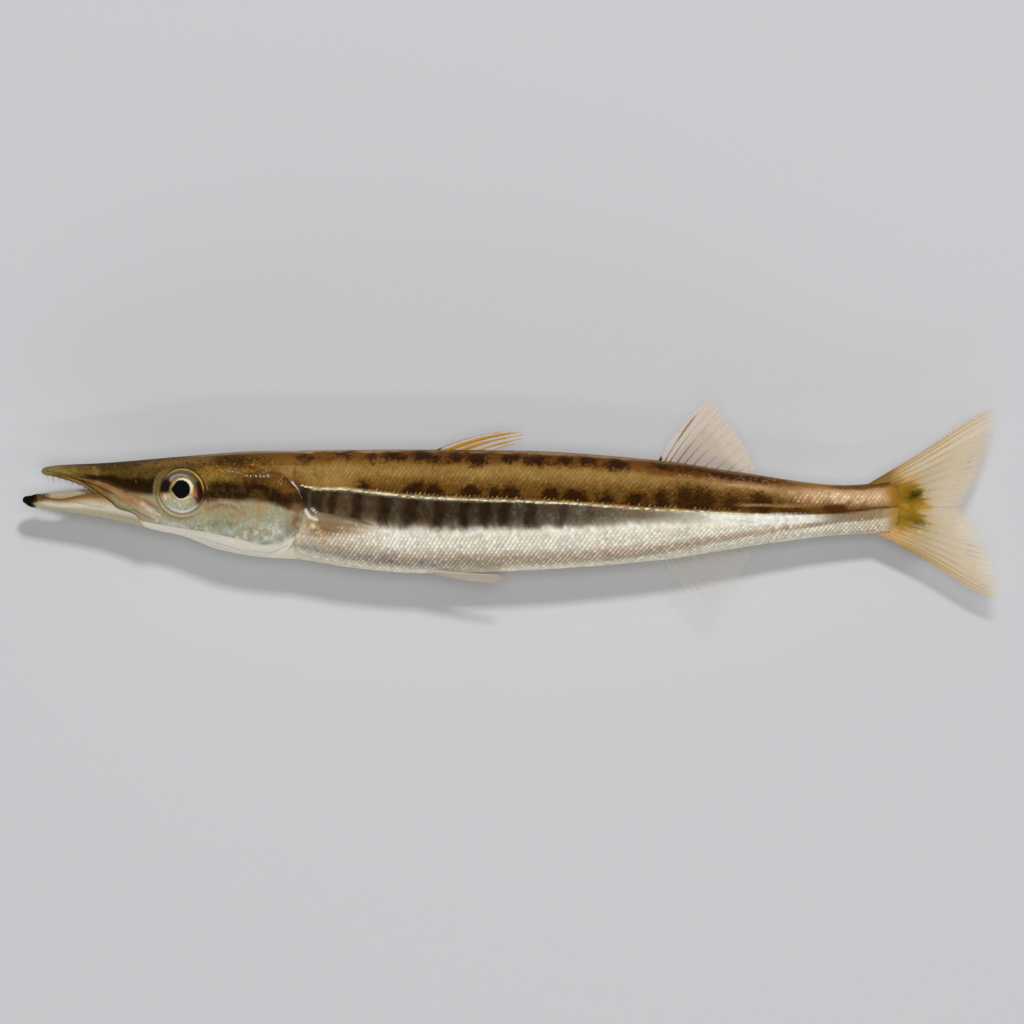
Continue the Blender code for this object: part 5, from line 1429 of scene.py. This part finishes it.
def soft_fin_colours(a, h, v, ridge, k):
    """Golden rays that fade outwards, dark dots at their roots and a dusky front edge."""
    paint = layer(PEACH, rgb(170, 122, 44), smooth(ridge, 0.03, 0.4) * (1 - 0.7 * smooth(v, 0.15, 0.6)))
    root_dot = ridge * falls(v, 0.03, 0.1)
    first = spot(a, h, (77.9, back(77.9) + 0.15), 0.5, 0.45)
    paint = layer(paint, C["eye_stripe"], 0.85 * root_dot + first)
    edge = np.exp(-((k - 1.0) / 0.16) ** 2) * between(v, 0.25, 0.4, 0.6, 0.8)
    paint = layer(paint, rgb(70, 62, 44), 0.8 * edge)
    solid = 0.13 + 0.14 * smooth(v, 0.2, 0.5)
    solid = solid + ridge * (0.62 - 0.46 * smooth(v, 0.1, 0.75)) + 0.7 * root_dot + 0.5 * edge + first
    return paint, solid * falls(v, 0.9, 1.0)


def anal_colours(a, h, v, ridge, k):
    # nearly clear skin; the grey of the rays is partly painted shade, standing in for the streaks of
    # their shadows
    paint = layer(PEACH, rgb(150, 138, 128), ridge)
    return paint, (0.04 + ridge * (0.2 - 0.12 * v)) * falls(v, 0.9, 1.0)


for name, node, surface, colours in (
        ("second_dorsal_membrane", "dorsal_fin_second", second_dorsal, soft_fin_colours),
        ("anal_membrane", "anal_fin", anal, anal_colours)):
    fin_sheet(name, node, surface, np.linspace(0, 1, 11), colours, ray=(0.085, 0.03), notch=0.015,
              fork=(0.5, 0.8))

# Tail fin: two forked lobes on a fleshy yellow root with two dark blotches
LOBE_SHARES = [0.0, 0.03, 0.07, 0.13, 0.22, 0.33, 0.45, 0.58, 0.72, 0.86, 1.0]


def tail_lobe(way):
    """Surface of the upper (way 1) or lower (way -1) lobe, wrapped round the end of the body."""
    if way > 0:
        edge, lead, bulge = back, 103.4, 0.36
        tip, bend, fork = (120.1, 12.1), (118.9, 5.2), (115.2, -0.35)
    else:
        edge, lead, bulge = belly, 104.6, 0.55
        tip, bend, fork = (120.45, -11.7), (119.7, -5.8), (115.2, -0.35)

    def surface(u, v):
        turn = np.clip(u / 0.25, 0, 1)
        past = np.clip((u - 0.25) / 0.75, 0, 1)
        root_a = lerp(lead, 106.3, turn)
        root_h = np.where(u < 0.25, edge(root_a) - way * 0.12,
                          lerp(float(edge(106.3)) - way * 0.12, -0.35, past))
        margin_a, margin_h = arch(tip[0], bend[0], fork[0], u), arch(tip[1], bend[1], fork[1], u)
        run_a, run_h = margin_a - root_a, margin_h - root_h
        bow = bulge * (1 - u) * v ** 4 * (1 - v)
        return root_a + run_a * v - way * run_h * bow, root_h + run_h * v + way * run_a * bow, 0 * v

    return surface


def tail_colours(a, h, v, ridge, k):
    """Clear pale lobes, olive yellow towards the root, with a dark blotch in each."""
    grain = mottle(a, h, 0.35, 61)
    coarse = mottle(a, h, 1.1, 62)
    turn = np.arctan2(h + 0.1, a - 104.5)
    rays = mottle(turn * 14, 0 * a, 0.5, 63)
    reach = np.hypot((a - 108.0) / 3.3, (h + 0.1) / 4.1) - 0.2 * ridge - 0.16 * rays - 0.06 * coarse
    base = 1 - smooth(reach, 0.55, 1.15)
    paint = layers(rgb(238, 218, 180), [
        (rgb(206, 178, 128), 0.5 * falls(v, 0.2, 0.75)),
        (rgb(176, 144, 74), ridge * falls(v, 0.35, 0.85) * 0.8),
        (rgb(190, 144, 44), falls(k, 1.5, 5.5) * smooth(ridge, 0.1, 0.6) * (1 - 0.5 * v)),
        (rgb(128, 120, 112), 0.8 * ridge * bump(k, 6.5, 0.9) * bump(v, 0.85, 0.12)),
        (rgb(160, 116, 18), base),
        (rgb(198, 160, 62), 0.55 * base * smooth(grain + 0.6 * rays, 0.1, 0.8)),
        (rgb(206, 164, 106), base * smooth(np.abs(h + 0.2), 2.6, 3.8) * 0.7)])
    upper = spot(a - 0.3 * coarse - 0.15 * rays, h - 0.2 * (a - 109.2) - 0.15 * coarse, (109.2, 1.15),
                 1.5, 1.15, 0.9)
    lower = spot(a - 0.4 * (-2.1 - h) - 0.15 * rays, h + 0.25 * coarse + 0.3 * (a - 109.5),
                 (109.4, -2.05), 1.7, 1.0, 0.9)
    paint = layers(paint, [
        (rgb(96, 80, 8), upper * (0.85 + 0.3 * grain)),
        (rgb(108, 88, 16), lower * (0.7 + 0.3 * grain)),
        (rgb(34, 28, 2), (0.85 + 0.3 * grain)
         * spot(a, h - 0.15 * (a - 109.25), (109.3, 1.15), 0.55, 0.45, 0.9)
         + 0.45 * spot(a, h + 0.3 * (a - 110), (109.9, -2.35), 0.6, 0.35, 0.9))])
    rim = falls(a - 0.15 * grain, 107.15, 107.7) * falls(np.abs(h + 0.2), 2.2, 3.0)
    paint = layer(paint, rgb(120, 84, 40), 0.7 * rim)
    collar = falls(a + 0.5 * rays, 105.9, 108.4) * smooth(np.abs(h + 0.3), 2.0, 2.7)
    paint = layer(paint, np.where((h > 0)[..., None], rgb(124, 86, 30), rgb(196, 158, 106)),
                  0.85 * collar)
    solid = 0.36 + 0.3 * falls(v, 0.05, 0.4) - 0.12 * smooth(v, 0.6, 1.0)
    solid = (solid + 0.45 * ridge * (1 - 0.75 * v) + base + upper + lower + rim
             + np.where(h > 0, 0.8, 0.35) * collar)
    return (paint, np.clip(solid, 0, 1) * falls(v, 0.87, 1.0)
            * np.maximum(0.45 + 0.55 * smooth(k, 0.0, 0.5), collar))


for side_name, way in (("upper", 1), ("lower", -1)):
    fin_sheet("tail_lobe_" + side_name, "tail_fin_" + side_name, tail_lobe(way), LOBE_SHARES,
              tail_colours, columns=12, rows=96, thick=(0.8, 0.06), ray=(0.1, 0.035), notch=0.012,
              fork=(0.3, 0.55))


# Pelvic fins, folded back under the belly, and breast fins, folded back flat on the flanks

def pelvic(way):
    def surface(u, v):
        root = (lerp(49.7, 50.8, u), lerp(-8.0, -8.5, u), lerp(2.1, 0.75, u))
        tip = (lerp(60.3, 59.0, u), lerp(-8.55, -9.7, u), lerp(3.4, 0.95, u))
        a, h, s = (lerp(r, t, v) for r, t in zip(root, tip))
        return a, h - 0.2 * np.sin(np.pi * v), way * s
    return surface


def pelvic_colours(a, h, v, ridge, k):
    paint = layer(rgb(222, 208, 196), rgb(214, 186, 150), ridge * 0.5)
    return paint, (0.5 + 0.25 * ridge * (1 - 0.5 * v)) * falls(v + 0.04 * np.abs(k - 2.5), 0.82, 1.0)


def breast(way):
    def surface(u, v):
        root = (lerp(36.1, 36.5, u), lerp(-0.95, -2.6, u))
        tip = (arch(43.7, 43.6, 42.3, u), arch(-2.75, -3.3, -3.5, u))
        a, h = lerp(root[0], tip[0], v), lerp(root[1], tip[1], v) + 0.35 * (1 - 2 * u) * v * (1 - v) * 4
        out = side_at(a, h)
        t = np.clip((a - DROOP_START) / (LENGTH - DROOP_START), 0, 1)
        side = out + 0.06 + 0.12 * v * v if way > 0 else -np.minimum(out + 0.05, REST_HEIGHT - 0.12)
        return a, h, side
    return surface


def breast_colours(a, h, v, ridge, k):
    paint = layer(rgb(190, 164, 120), rgb(120, 84, 44), ridge * 0.5)
    # the front rays are dark brown, partly as painted shade along the fin's upper edge
    front = falls(k, 0.4, 2.6) * smooth(v, 0.0, 0.2)
    paint = layer(paint, rgb(98, 68, 36), 0.8 * front)
    solid = 0.1 + 0.2 * falls(v, 0.1, 0.5) + 0.14 * ridge * (1 - v) + 0.55 * front * (1 - 0.5 * v)
    return paint, solid * falls(v, 0.8, 1.0)


for side_name, way in (("left", 1), ("right", -1)):
    fin_sheet("pelvic_membrane_" + side_name, "pelvic_fin_" + side_name, pelvic(way),
              np.linspace(0, 1, 6), pelvic_colours, rows=40, ray=(0.08, 0.03))
    fin_sheet("breast_membrane_" + side_name, "pectoral_fin_" + side_name, breast(way),
              np.linspace(0, 1, 11), breast_colours, columns=8, rows=40, thick=(0.08, 0.04),
              ray=(0.06, 0.025))
